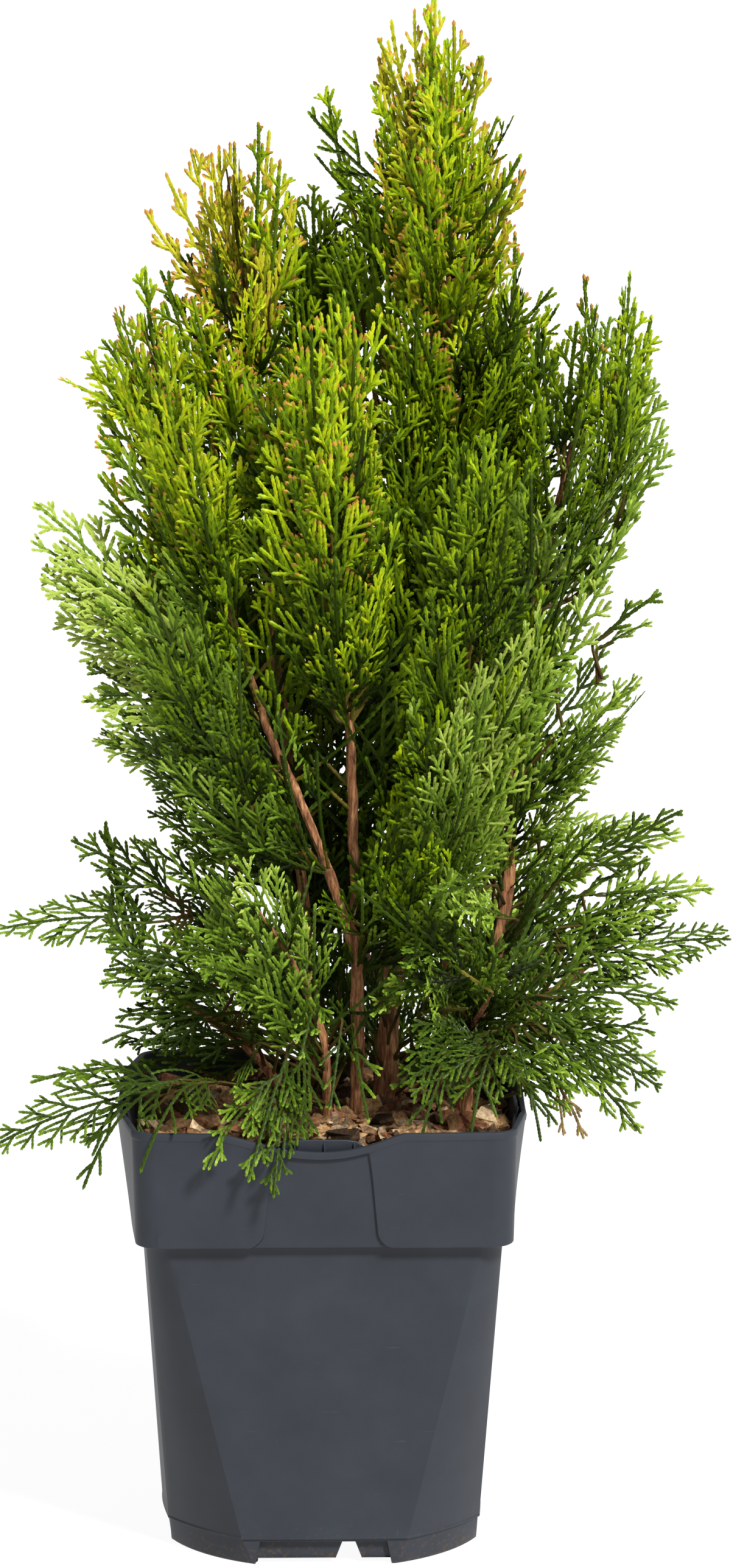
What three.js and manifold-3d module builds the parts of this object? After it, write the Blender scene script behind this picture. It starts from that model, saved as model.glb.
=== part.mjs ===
// A young thuja in a square nursery pot. Millimetres, +Z up, the front towards -Y.
// The origin is the centre of the pot's underside, where its middle pad stands on the ground.
import * as THREE from "three";
import { mergeVertices } from "three/addons/utils/BufferGeometryUtils.js";
import Module from "manifold-3d";

const wasm = await Module();
wasm.setup();

// Clearances
const GAP = 0.35; // between solids that touch on the real plant
const SIDE_GAP = 1.2; // between the root ball and the pot's wall

// Pot: a 17 cm square container, thin walled, with a stepped-out band under the rim
const POT_HEIGHT = 200;
const RIM_HALF = 84.5;
const BAND_BOTTOM_HALF = 83;
const BAND_BOTTOM = 148;
const BAND_CORNER = 11.5;
const BODY_TOP_HALF = 78.4;
const BODY_FOOT_HALF = 69.8;
const EDGE_HEIGHT = 12.6; // the thin ledge that runs round the pot above its foot ring
const WALL = 1.6;
const BAND_WALL = 2.4;
const STEP_THICK = 2; // of the step between body and band
const LEDGE_DEPTH = 0.7;
const FLOOR_UNDERSIDE = 11.5;
const FLOOR_TOP = 14;
const RING_THICK = 5;
const PAD_RADIUS = 14;
const DRAIN_RADIUS = 5.5;
const DRAIN_OFFSET = 40;
// how far each side bows out at the rim: front, right, back, left
const BOW = [2.5, 8, 4, 9.2];
const SIDE_STEPS = 4;
const CORNER_STEPS = 3;

// Foot ring: each side stands on its two ends, and its middle is lifted, set back and notched
const FOOT_SETBACK = 1.2;
const LIFT = 2.4;
const POCKET_LEFT = -30.5;
const POCKET_RIGHT = 29.5;
const POCKET_TOP = 10.4;
const POCKET_DEPTH = 3.4;
const POCKET_SLOPE = 2;
const NOTCH_BOTTOM = [5, 16.4];
const NOTCH_TOP = [8, 13.4];
const NOTCH_HEIGHT = 10.9;
const BELOW = -1; // how far the tools start under the ground
const TOOL_REACH = 10; // how far they run past the wall on both sides

// Label slot in the middle of each side
const SLOT_HALF = 21;
const SLOT_PLATE = 1.4;
const SLOT_FACE = 78.8; // distance of the inner plate's outer face from the axis
const SLOT_TOP = 196.4;
const SLOT_BEVEL = 6;
const SLOT_ROOM = 1.6; // between the slot's plate and the root ball
const DIP_DEPTH = 8.5;
const DIP_HALF = 30;
const DIP_OFFSET = -1;
const LIP = 1.2; // thickness of the plate's part that stays in front of the dip
const DRUM_LENGTH = 40;

// Label panel, let into the band in front of the slot
const PANEL_DEPTH = 1.2;
const PANEL_TOP = [-21.4, 19.3];
const PANEL_FOOT = [-26.3, 22.8];
const PANEL_FLARE = [-34, 31];
const PANEL_UNDER_RIM = 6;
const PANEL_SAG = 17;
const PANEL_CURVE = 8;
const PANEL_FRONT = 130;

// Root ball and bark mulch
const SOIL_TOP = 186;
const STEM_FOOT = SOIL_TOP + GAP;

// Limbs
const LIMB_SIDES = 5;
const FLARE_HEIGHT = 26;
const FLARE_GAIN = 0.55;

// Foliage
const GOLDEN_ANGLE = Math.PI * (3 - Math.sqrt(5));
const CORE_SIDES = 6;
const CORE_RINGS = 5;
const FROND_SIDES = 4;
const FROND_RINGS = 3;
const LOBE_WIDTH = 0.24; // half size over length
const LOBE_DEPTH = 0.2;

// ---------- shared geometry helpers ----------

function toSolid(geometry) {
  const bare = geometry.clone();
  bare.deleteAttribute("normal");
  bare.deleteAttribute("uv");
  const merged = mergeVertices(bare, 1e-4);
  return new wasm.Manifold(
    new wasm.Mesh({
      numProp: 3,
      vertProperties: new Float32Array(merged.attributes.position.array),
      triVerts: new Uint32Array(merged.index.array),
    }),
  );
}

function toGeometry(solid) {
  const mesh = solid.getMesh();
  const geometry = new THREE.BufferGeometry();
  geometry.setAttribute("position", new THREE.BufferAttribute(mesh.vertProperties, 3));
  geometry.setIndex(new THREE.BufferAttribute(mesh.triVerts, 1));
  geometry.computeVertexNormals();
  return geometry;
}

// The biggest of the bodies that a cut has left
function largest(solid) {
  const bodies = solid.decompose();
  return bodies.reduce((best, body) => (body.volume() > best.volume() ? body : best));
}

// A closed skin over rings of points, each ring the same count, from the lowest up
function loft(levels) {
  const count = levels[0].ring.length;
  const positions = [];
  for (const { z, ring } of levels) {
    for (const point of ring) positions.push(point.x, point.y, z);
  }
  const index = [];
  for (let level = 0; level < levels.length - 1; level++) {
    for (let i = 0; i < count; i++) {
      const a = level * count + i;
      const b = level * count + ((i + 1) % count);
      index.push(a, b, b + count, a, b + count, a + count);
    }
  }
  const top = (levels.length - 1) * count;
  for (const [a, b, c] of THREE.ShapeUtils.triangulateShape(levels[0].ring, [])) {
    index.push(a, c, b);
  }
  for (const [a, b, c] of THREE.ShapeUtils.triangulateShape(levels.at(-1).ring, [])) {
    index.push(top + a, top + b, top + c);
  }
  const geometry = new THREE.BufferGeometry();
  geometry.setAttribute("position", new THREE.Float32BufferAttribute(positions, 3));
  geometry.setIndex(index);
  return toSolid(geometry);
}

function block(low, high) {
  const size = high.map((value, axis) => value - low[axis]);
  const geometry = new THREE.BoxGeometry(...size);
  geometry.translate(...high.map((value, axis) => (value + low[axis]) / 2));
  return toSolid(geometry);
}

// An upright outline in X and Z, pushed back from y = front to y = back
function upright(shape, front, back) {
  const options = { depth: back - front, bevelEnabled: false, curveSegments: 3 };
  const geometry = new THREE.ExtrudeGeometry(shape, options);
  geometry.rotateX(Math.PI / 2);
  geometry.translate(0, back, 0);
  return toSolid(geometry);
}

function polygon(points) {
  return new THREE.Shape(points.map(([x, z]) => new THREE.Vector2(x, z)));
}

// ---------- pot ----------

// One level of the pot: four flats joined by four arcs. flat is the flats' distance from the axis,
// half is half their length, and diagonal is the corner's distance from the axis.
function potRing({ flat, half, diagonal, bow = 0 }) {
  const centre =
    (half ** 2 + flat ** 2 - diagonal ** 2) / (2 * (half + flat - Math.SQRT2 * diagonal));
  const radius = diagonal - Math.SQRT2 * centre;
  const start = Math.atan2(centre - flat, half - centre);
  const end = -Math.PI / 2 - start;
  const ring = [];
  for (let side = 0; side < 4; side++) {
    const turn = (side * Math.PI) / 2;
    const local = [];
    for (let i = 0; i <= SIDE_STEPS; i++) {
      const along = -1 + (2 * i) / SIDE_STEPS;
      const out = flat + bow * BOW[side] * Math.cos((along * Math.PI) / 2);
      local.push(new THREE.Vector2(along * half, -out));
    }
    for (let i = 1; i < CORNER_STEPS; i++) {
      const angle = start + ((end - start) * i) / CORNER_STEPS;
      local.push(
        new THREE.Vector2(centre + radius * Math.cos(angle), -centre + radius * Math.sin(angle)),
      );
    }
    for (const point of local) ring.push(point.rotateAround(new THREE.Vector2(), turn));
  }
  return ring;
}

function shrink(level, by) {
  return {
    ...level,
    flat: level.flat - by,
    half: level.half - 0.4 * by,
    diagonal: level.diagonal - by,
  };
}

function filleted(flat, bow) {
  const half = flat - BAND_CORNER;
  return { flat, half, diagonal: Math.SQRT2 * half + BAND_CORNER, bow };
}

const FOOT = { flat: BODY_FOOT_HALF - FOOT_SETBACK, half: 31.6, diagonal: 75.6 };
const LEDGE = { flat: BODY_FOOT_HALF, half: 37, diagonal: 78.1 };
const BODY_TOP = { flat: BODY_TOP_HALF, half: 69, diagonal: 105.5 };
const BAND_LOW = filleted(BAND_BOTTOM_HALF, 0);
const RIM = filleted(RIM_HALF, 1);

// A ring between two levels, at a share of the way up
function between(low, high, share) {
  const mixed = {};
  for (const key of ["flat", "half", "diagonal", "bow"]) {
    mixed[key] = THREE.MathUtils.lerp(low[key] ?? 0, high[key] ?? 0, share);
  }
  return mixed;
}

// Tips a solid that faces -Y outwards about the band's bottom edge
function tipped(solid, angle) {
  const pivot = [0, BAND_BOTTOM_HALF, -BAND_BOTTOM];
  const degrees = THREE.MathUtils.radToDeg(angle);
  return solid.translate(pivot).rotate([degrees, 0, 0]).translate(pivot.map((v) => -v));
}

// What is cut off the foot ring in the middle of a side, built facing -Y
function footCuts() {
  const front = -(BODY_FOOT_HALF + TOOL_REACH);
  const back = -(BODY_FOOT_HALF - TOOL_REACH);
  const pocket = upright(
    polygon([
      [POCKET_LEFT, BELOW],
      [POCKET_RIGHT, BELOW],
      [POCKET_RIGHT - POCKET_SLOPE, POCKET_TOP],
      [POCKET_LEFT + POCKET_SLOPE, POCKET_TOP],
    ]),
    front,
    -(BODY_FOOT_HALF - POCKET_DEPTH),
  );
  const lift = block([POCKET_LEFT, front, BELOW], [POCKET_RIGHT, back, LIFT]);
  const notch = upright(
    polygon([
      [NOTCH_BOTTOM[0], BELOW],
      [NOTCH_BOTTOM[1], BELOW],
      [NOTCH_TOP[1], NOTCH_HEIGHT],
      [NOTCH_TOP[0], NOTCH_HEIGHT],
    ]),
    front,
    back,
  );
  return pocket.add(lift).add(notch);
}

// The label panel let into the band of a side, its top edge parallel to the dip in the rim
function panelCut(bow) {
  const [left, right] = PANEL_TOP;
  const [leftFoot, rightFoot] = PANEL_FOOT;
  const [leftFlare, rightFlare] = PANEL_FLARE;
  const top = POT_HEIGHT - PANEL_UNDER_RIM;
  const panel = new THREE.Shape();
  panel.moveTo(leftFlare - 2, BAND_BOTTOM - 2);
  panel.lineTo(leftFlare, BAND_BOTTOM);
  panel.quadraticCurveTo(leftFoot - 0.7, BAND_BOTTOM, leftFoot, BAND_BOTTOM + PANEL_CURVE);
  panel.lineTo(left, top);
  panel.quadraticCurveTo((left + right) / 2, POT_HEIGHT - PANEL_SAG, right, top);
  panel.lineTo(rightFoot, BAND_BOTTOM + PANEL_CURVE);
  panel.quadraticCurveTo(rightFoot + 0.7, BAND_BOTTOM, rightFlare, BAND_BOTTOM);
  panel.lineTo(rightFlare + 2, BAND_BOTTOM - 2);
  const lean = Math.atan((RIM_HALF + bow - BAND_BOTTOM_HALF) / (POT_HEIGHT - BAND_BOTTOM));
  return tipped(upright(panel, -PANEL_FRONT, -(BAND_BOTTOM_HALF - PANEL_DEPTH)), lean);
}

// The shallow arc by which the rim dips in front of the slot
function dipCut(bow) {
  const radius = (DIP_HALF ** 2 + DIP_DEPTH ** 2) / (2 * DIP_DEPTH);
  const drum = new THREE.CylinderGeometry(radius, radius, DRUM_LENGTH, 36);
  const bowAtDip = 0.8 * bow;
  drum.translate(DIP_OFFSET, -(SLOT_FACE + bowAtDip + LIP + DRUM_LENGTH / 2), 0);
  return toSolid(drum).translate([0, 0, POT_HEIGHT - DIP_DEPTH + radius]);
}

// The slot's inner plate and its two webs to the band
function slotPlate(bow) {
  const face = -SLOT_FACE;
  const left = -SLOT_HALF - 1;
  const right = SLOT_HALF - 3;
  const shoulder = SLOT_TOP - SLOT_BEVEL;
  let all = upright(
    polygon([
      [left, BAND_BOTTOM],
      [right, BAND_BOTTOM],
      [right, shoulder],
      [right - 4, SLOT_TOP],
      [left + 4, SLOT_TOP],
      [left, shoulder],
    ]),
    face,
    face + SLOT_PLATE,
  );
  for (const x of [left, right - SLOT_PLATE]) {
    all = all.add(block([x, -RIM_HALF, BAND_BOTTOM], [x + SLOT_PLATE, face + 0.5, shoulder - 1]));
  }
  const lean = Math.atan((bow + 1) / (POT_HEIGHT - BAND_BOTTOM));
  return tipped(all, lean);
}

// The band's levels from a height up to a share of the way to the rim, drawn in by a wall's thickness
function bandLevels(bottom, end, wall) {
  return [0, 0.5, end].map((share) => ({
    z: THREE.MathUtils.lerp(bottom, POT_HEIGHT, share),
    ring: potRing(shrink(between(BAND_LOW, RIM, share), wall)),
  }));
}

function potSolids() {
  const outer = loft([
    { z: 0, ring: potRing(FOOT) },
    { z: EDGE_HEIGHT - 1, ring: potRing(shrink(LEDGE, LEDGE_DEPTH)) },
    { z: EDGE_HEIGHT, ring: potRing(LEDGE) },
    { z: BAND_BOTTOM, ring: potRing(BODY_TOP) },
    ...bandLevels(BAND_BOTTOM, 1, 0),
  ]);
  const inner = loft([
    { z: FLOOR_TOP, ring: potRing(shrink(LEDGE, WALL)) },
    { z: BAND_BOTTOM + STEP_THICK, ring: potRing(shrink(BODY_TOP, WALL)) },
    ...bandLevels(BAND_BOTTOM + STEP_THICK, 1.02, BAND_WALL),
  ]);
  const padHeight = FLOOR_UNDERSIDE + 1.5;
  const pad = new THREE.CylinderGeometry(PAD_RADIUS, PAD_RADIUS + 1, padHeight, 16);
  const padSolid = toSolid(pad.rotateX(Math.PI / 2)).translate([0, 0, padHeight / 2]);
  const hollow = loft([
    { z: BELOW, ring: potRing(shrink(FOOT, RING_THICK)) },
    { z: FLOOR_UNDERSIDE, ring: potRing(shrink(FOOT, RING_THICK)) },
  ]).subtract(padSolid);

  let pot = outer.subtract(inner).subtract(hollow);
  for (let side = 0; side < 4; side++) {
    const turn = [0, 0, side * 90];
    const plate = slotPlate(BOW[side]).rotate(turn).intersect(outer);
    const cuts = footCuts().add(panelCut(BOW[side])).add(dipCut(BOW[side]));
    pot = pot.add(plate).subtract(cuts.rotate(turn));
    const drain = new THREE.CylinderGeometry(DRAIN_RADIUS, DRAIN_RADIUS, 10, 8);
    const drainSolid = toSolid(drain.rotateX(Math.PI / 2)).translate([DRAIN_OFFSET, 0, FLOOR_TOP]);
    pot = pot.subtract(drainSolid.rotate([0, 0, 45 + side * 90]));
  }
  return largest(pot);
}

// The root ball fills the pot to a little below the rim, with room left behind the slots
function rootBall() {
  const wallGap = WALL + SIDE_GAP;
  const bandGap = BAND_WALL + SIDE_GAP;
  const share = (SOIL_TOP - BAND_BOTTOM) / (POT_HEIGHT - BAND_BOTTOM);
  let ball = loft([
    { z: FLOOR_TOP + GAP, ring: potRing(shrink(LEDGE, wallGap)) },
    { z: BAND_BOTTOM + 2 * STEP_THICK, ring: potRing(shrink(BODY_TOP, wallGap)) },
    { z: BAND_BOTTOM + 2 * STEP_THICK, ring: potRing(shrink(BAND_LOW, bandGap)) },
    { z: SOIL_TOP, ring: potRing(shrink(between(BAND_LOW, RIM, share), bandGap)) },
  ]);
  for (let side = 0; side < 4; side++) {
    const room = block(
      [-SLOT_HALF - 3, -RIM_HALF - TOOL_REACH, BAND_BOTTOM - 2 * STEP_THICK],
      [SLOT_HALF, -SLOT_FACE + SLOT_PLATE + SLOT_ROOM, POT_HEIGHT],
    );
    ball = ball.subtract(room.rotate([0, 0, side * 90]));
  }
  return largest(ball);
}

// ---------- limbs ----------

// A bark-covered limb that tapers along a smooth curve. grow thickens it all over.
function limb({ route, foot, tip, flared = false }, grow = 0) {
  const curve = new THREE.CatmullRomCurve3(route.map((point) => new THREE.Vector3(...point)));
  const steps = route.length;
  const geometry = new THREE.CylinderGeometry(1, 1, 1, LIMB_SIDES, steps);
  const position = geometry.attributes.position;
  const side = new THREE.Vector3();
  const across = new THREE.Vector3();
  for (let i = 0; i < position.count; i++) {
    const share = position.getY(i) + 0.5;
    const centre = curve.getPointAt(share);
    const along = flared && share < 0.01 ? new THREE.Vector3(0, 0, 1) : curve.getTangentAt(share);
    side.crossVectors(new THREE.Vector3(0, 1, 0), along).normalize();
    across.crossVectors(along, side);
    const rise = centre.z - route[0][2];
    const flare = flared ? 1 + FLARE_GAIN * Math.exp((-4 * rise) / FLARE_HEIGHT) : 1;
    const radius = THREE.MathUtils.lerp(foot, tip, share ** 0.85) * flare + grow;
    const reach = grow * (share > 0.99 ? 1 : share < 0.01 ? -1 : 0);
    centre.addScaledVector(side, position.getZ(i) * radius);
    centre.addScaledVector(across, position.getX(i) * radius);
    centre.addScaledVector(along, reach);
    position.setXYZ(i, centre.x, centre.y, centre.z);
  }
  return toSolid(geometry);
}

// Stems that rise from the soil. Each route runs from the flat cut at soil level upwards.
const STEMS = {
  leader: {
    route: [[28, 6, STEM_FOOT], [31, 6, 245], [38, 8, 320], [50, 10, 420], [57, 12, 520], [52, 8, 655]],
    foot: 5.4,
    tip: 1.1,
    flared: true,
  },
  front_stem: {
    route: [[15, -14, STEM_FOOT], [15, -17, 270], [13, -20, 345], [7, -25, 410], [6, -30, 470]],
    foot: 3.3,
    tip: 1.5,
    flared: true,
  },
  back_left_stem: {
    route: [[-3, 22, STEM_FOOT], [-9, 25, 290], [-20, 26, 390], [-30, 24, 480], [-38, 20, 560]],
    foot: 3.1,
    tip: 1.3,
    flared: true,
  },
  right_stem: {
    route: [
      [62, -6, STEM_FOOT],
      [70, -8, 235],
      [82, -8, 290],
      [88, -6, 370],
      [101, -2, 450],
      [118, 0, 520],
    ],
    foot: 3.6,
    tip: 1.3,
    flared: true,
  },
  back_right_stem: {
    route: [[52, 30, STEM_FOOT], [60, 36, 285], [68, 38, 390], [82, 32, 490]],
    foot: 3.1,
    tip: 1.3,
    flared: true,
  },
  low_front_stem: {
    route: [[2, -32, STEM_FOOT], [0, -38, 228], [-12, -46, 265], [-28, -54, 292]],
    foot: 2.3,
    tip: 1.2,
    flared: true,
  },
  low_left_stem: {
    route: [[-10, -4, STEM_FOOT], [-26, -8, 212], [-52, -10, 236], [-84, -12, 256]],
    foot: 2.4,
    tip: 1.2,
    flared: true,
  },
};

// Boughs that fork off a stem, each one tapering limb that ends inside its foliage
const BOUGHS = {
  left_bough: {
    route: [[14, -17, 268], [-4, -16, 322], [-26, -12, 372], [-46, -10, 440]],
    foot: 2.4,
    tip: 1.4,
  },
  right_low_bough: {
    route: [[66, -7, 212], [92, -8, 238], [124, -8, 262]],
    foot: 2.5,
    tip: 1.2,
  },
  front_right_bough: {
    route: [[66, -7, 218], [68, -30, 238], [74, -56, 256]],
    foot: 2.1,
    tip: 1.1,
  },
  front_mid_bough: {
    route: [[34, 7, 275], [46, -14, 308], [56, -36, 350]],
    foot: 2.2,
    tip: 1.2,
  },
  back_centre_bough: {
    route: [[30, 6, 232], [24, 34, 244], [18, 70, 256]],
    foot: 2.2,
    tip: 1.1,
  },
  back_left_bough: {
    route: [[-6, 24, 236], [-24, 48, 252], [-44, 74, 272]],
    foot: 2.0,
    tip: 1.1,
  },
  left_low_bough: {
    route: [[-8, 24, 256], [-26, 8, 274], [-54, -4, 290]],
    foot: 2,
    tip: 1.1,
  },
  back_right_bough: {
    route: [[56, 33, 238], [68, 56, 254], [80, 80, 272]],
    foot: 2.0,
    tip: 1.1,
  },
};

// ---------- foliage ----------

// Two directions square to an axis: the first stays in the X-Z plane where it can
function crossFrame(along) {
  const depthwise = new THREE.Vector3(0, 1, 0);
  const reference = Math.abs(along.y) > 0.8 ? new THREE.Vector3(1, 0, 0) : depthwise;
  const wide = new THREE.Vector3().crossVectors(reference, along).normalize();
  return { wide, deep: new THREE.Vector3().crossVectors(wide, along) };
}

// A spindle from one point to another, uneven round its girth
function spindle({ from, to, wide, deep, sides, rings, phase }, grow) {
  const start = new THREE.Vector3(...from);
  const end = new THREE.Vector3(...to);
  const along = end.clone().sub(start).normalize();
  const frame = crossFrame(along);
  start.addScaledVector(along, -2 * grow);
  end.addScaledVector(along, 2 * grow);
  const geometry = new THREE.SphereGeometry(1, sides, rings);
  const position = geometry.attributes.position;
  for (let i = 0; i < position.count; i++) {
    const share = (1 + position.getY(i)) / 2;
    const angle = Math.atan2(position.getZ(i), position.getX(i));
    const girth = Math.hypot(position.getX(i), position.getZ(i)) * (1.18 - 0.36 * share);
    const ripple = 0.13 * Math.sin(3 * angle + phase + 4 * share);
    const uneven = 1 + ripple + 0.08 * Math.sin(2 * angle - 2 * phase);
    const point = start.clone().lerp(end, share);
    const reach = girth * uneven;
    const skin = grow * Math.sign(reach);
    point.addScaledVector(frame.wide, (wide * reach + skin) * Math.cos(angle));
    point.addScaledVector(frame.deep, (deep * reach + skin) * Math.sin(angle));
    position.setXYZ(i, point.x, point.y, point.z);
  }
  return toSolid(geometry);
}

// One mass of foliage: a core plume with frond-like lobes that leave it in a spiral.
// wide and deep are the core's half sizes across its axis.
function foliage({ from, to, wide, deep, fronds, spread = 1.3, phase = 0 }, grow = 0) {
  const start = new THREE.Vector3(...from);
  const end = new THREE.Vector3(...to);
  const along = end.clone().sub(start);
  const length = along.length();
  along.normalize();
  const frame = crossFrame(along);
  let mass = spindle({ from, to, wide, deep, sides: CORE_SIDES, rings: CORE_RINGS, phase }, grow);
  for (let i = 0; i < fronds; i++) {
    const share = 0.16 + (0.62 * i) / Math.max(1, fronds - 1);
    const angle = i * GOLDEN_ANGLE + phase;
    const girth = Math.sqrt(1 - (2 * share - 0.74) ** 2) * spread;
    const root = start.clone().addScaledVector(along, share * length * 0.8);
    const tip = start.clone().addScaledVector(along, (share + 0.2) * length);
    tip.addScaledVector(frame.wide, wide * girth * Math.cos(angle));
    tip.addScaledVector(frame.deep, deep * girth * Math.sin(angle));
    const reach = tip.distanceTo(root);
    const lobe = {
      from: root.toArray(),
      to: tip.toArray(),
      wide: reach * LOBE_WIDTH,
      deep: reach * LOBE_DEPTH,
      sides: FROND_SIDES,
      rings: FROND_RINGS,
      phase: i,
    };
    mass = mass.add(spindle(lobe, grow));
  }
  return mass;
}

// A few sprays that stand out alone past the rest
function shoot({ from, to, wide }, grow = 0) {
  const form = { wide, deep: wide, sides: FROND_SIDES, rings: FROND_RINGS, phase: 1 };
  return spindle({ from, to, ...form }, grow);
}

// Masses, in the order in which they take their room: a later one is cut clear of the earlier ones
const MASSES = {
  crown_top: { from: [52, 10, 548], to: [49, 6, 684], wide: 29, deep: 30, fronds: 6, spread: 1.18 },
  crown_left: { from: [-28, 20, 522], to: [-44, 16, 627], wide: 25, deep: 26, fronds: 5, phase: 2 },
  front_plume: { from: [4, -28, 384], to: [8, -42, 562], wide: 30, deep: 24, fronds: 4, phase: 1 },
  left_plume: { from: [-42, -8, 428], to: [-84, -12, 563], wide: 29, deep: 30, fronds: 4, phase: 4 },
  left_shoulder: { from: [-40, -8, 380], to: [-128, -14, 463], wide: 20, deep: 32, fronds: 4, phase: 3 },
  left_front_spray: { from: [-24, -24, 316], to: [-70, -64, 440], wide: 33, deep: 24, fronds: 4, phase: 5 },
  right_mid_plume: { from: [82, 6, 440], to: [85, 4, 582], wide: 22, deep: 28, fronds: 4, phase: 2 },
  right_plume: { from: [118, 0, 432], to: [137, -2, 564], wide: 18, deep: 22, fronds: 4, phase: 0.5 },
  right_shoulder: {
    from: [82, -4, 338],
    to: [140, -8, 416],
    wide: 24,
    deep: 32,
    fronds: 4,
    phase: 3.4,
    spread: 1.15,
  },
  right_front_plume: {
    from: [60, -26, 350],
    to: [72, -56, 512],
    wide: 32,
    deep: 24,
    fronds: 4,
    phase: 1.4,
  },
  centre_plume: { from: [46, 14, 330], to: [56, 14, 552], wide: 30, deep: 30, fronds: 1, phase: 4.4 },
  right_mid_spray: { from: [76, -4, 306], to: [162, -6, 326], wide: 20, deep: 30, fronds: 3, phase: 1.2 },
  right_low_spray: { from: [78, -8, 262], to: [182, -10, 282], wide: 21, deep: 34, fronds: 4, phase: 2.2 },
  right_rim_spray: { from: [76, -2, 244], to: [151, -8, 212], wide: 13, deep: 24, fronds: 3, phase: 3 },
  left_mid_spray: { from: [-30, 0, 336], to: [-116, -2, 372], wide: 20, deep: 28, fronds: 3, phase: 0.2 },
  left_low_spray: { from: [-26, -6, 284], to: [-122, -12, 306], wide: 23, deep: 34, fronds: 4, phase: 0.4 },
  left_tip_spray: { from: [-60, -8, 252], to: [-147, -14, 268], wide: 13, deep: 28, fronds: 3, phase: 2.7 },
  left_edge_spray: { from: [-24, 12, 236], to: [-136, 4, 207], wide: 12, deep: 26, fronds: 3, phase: 4.6 },
  left_rim_spray: { from: [-46, -34, 216], to: [-148, -36, 187], wide: 10, deep: 22, fronds: 3, phase: 1 },
  front_low_spray: { from: [-8, -42, 256], to: [-64, -88, 300], wide: 30, deep: 28, fronds: 4, phase: 2.6 },
  front_rim_spray: {
    from: [-34, -66, 246],
    to: [-28, -102, 172],
    wide: 16,
    deep: 20,
    fronds: 4,
    phase: 0.8,
  },
  front_right_spray: {
    from: [42, -28, 240],
    to: [92, -98, 262],
    wide: 30,
    deep: 30,
    fronds: 4,
    phase: 3.9,
  },
  front_centre_spray: {
    from: [40, -24, 272],
    to: [64, -66, 398],
    wide: 33,
    deep: 28,
    fronds: 3,
    phase: 5.2,
  },
  back_top_plume: { from: [16, 44, 470], to: [17, 32, 636], wide: 16, deep: 22, fronds: 3, phase: 1.9 },
  back_centre_plume: { from: [4, 44, 272], to: [-10, 76, 545], wide: 38, deep: 28, fronds: 3, phase: 0.2 },
  back_right_plume: { from: [70, 44, 320], to: [98, 84, 470], wide: 32, deep: 28, fronds: 3, phase: 4.1 },
  back_left_plume: { from: [-22, 34, 292], to: [-82, 72, 460], wide: 30, deep: 28, fronds: 3, phase: 5.5 },
  back_left_spray: { from: [-16, 34, 230], to: [-78, 112, 280], wide: 32, deep: 34, fronds: 2, phase: 2.9 },
  back_right_spray: { from: [60, 40, 232], to: [108, 108, 284], wide: 32, deep: 34, fronds: 3, phase: 1.2 },
  back_rim_spray: { from: [16, 46, 224], to: [14, 132, 258], wide: 26, deep: 34, fronds: 3, phase: 3.6 },
};

const SHOOTS = {
  top_shoot: { from: [30, 11, 568], to: [2, 2, 642], wide: 4.2 },
  left_shoot: { from: [-88, -12, 508], to: [-116, -16, 523], wide: 3.4 },
  right_shoot: { from: [126, -8, 402], to: [147, -10, 424], wide: 3.4 },
  left_droop: { from: [-104, -34, 196], to: [-114, -40, 154], wide: 7 },
  right_droop: { from: [104, -12, 222], to: [102, -14, 172], wide: 6 },
  dry_shoot: { from: [120, -8, 222], to: [121, -16, 166], wide: 5 },
  right_tip_shoot: { from: [138, -8, 212], to: [147, -10, 180], wide: 4 },
};

// ---------- assembly ----------

const MATERIALS = {
  pot: new THREE.MeshStandardMaterial({ color: "#474b50", roughness: 0.55 }),
  soil: new THREE.MeshStandardMaterial({ color: "#5c3d29", roughness: 0.95 }),
  bark: new THREE.MeshStandardMaterial({ color: "#8a553c", roughness: 0.85 }),
  foliage: new THREE.MeshStandardMaterial({ color: "#4f7f28", roughness: 0.7 }),
};

const plant = new THREE.Group();

function place(name, solid, material) {
  const mesh = new THREE.Mesh(toGeometry(solid), material);
  mesh.name = name;
  plant.add(mesh);
}

function cutClear(solid, clearances) {
  return largest(clearances.reduce((rest, clearance) => rest.subtract(clearance), solid));
}

const pot = potSolids();
const soil = rootBall();
place("pot", pot, MATERIALS.pot);
place("root_ball", soil, MATERIALS.soil);

const limbRoom = [];
for (const [name, spec] of [...Object.entries(STEMS), ...Object.entries(BOUGHS)]) {
  place(name, cutClear(limb(spec), limbRoom), MATERIALS.bark);
  limbRoom.push(limb(spec, GAP));
}

// Foliage keeps clear of the rim, the soil, every limb and the masses before it
const potRoom = loft([
  { z: 0, ring: potRing(shrink(BAND_LOW, -1)) },
  { z: BAND_BOTTOM, ring: potRing(shrink(BAND_LOW, -1)) },
  { z: POT_HEIGHT + GAP, ring: potRing(shrink(RIM, -1)) },
]);
const taken = [potRoom, ...limbRoom];
for (const [name, spec] of Object.entries(MASSES)) {
  place(name, cutClear(foliage(spec), taken), MATERIALS.foliage);
  taken.push(foliage(spec, GAP));
}
for (const [name, spec] of Object.entries(SHOOTS)) {
  place(name, cutClear(shoot(spec), taken), MATERIALS.foliage);
  taken.push(shoot(spec, GAP));
}

export default plant;
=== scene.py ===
import math

import bpy
import numpy as np
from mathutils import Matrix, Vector
from mathutils.bvhtree import BVHTree


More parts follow.
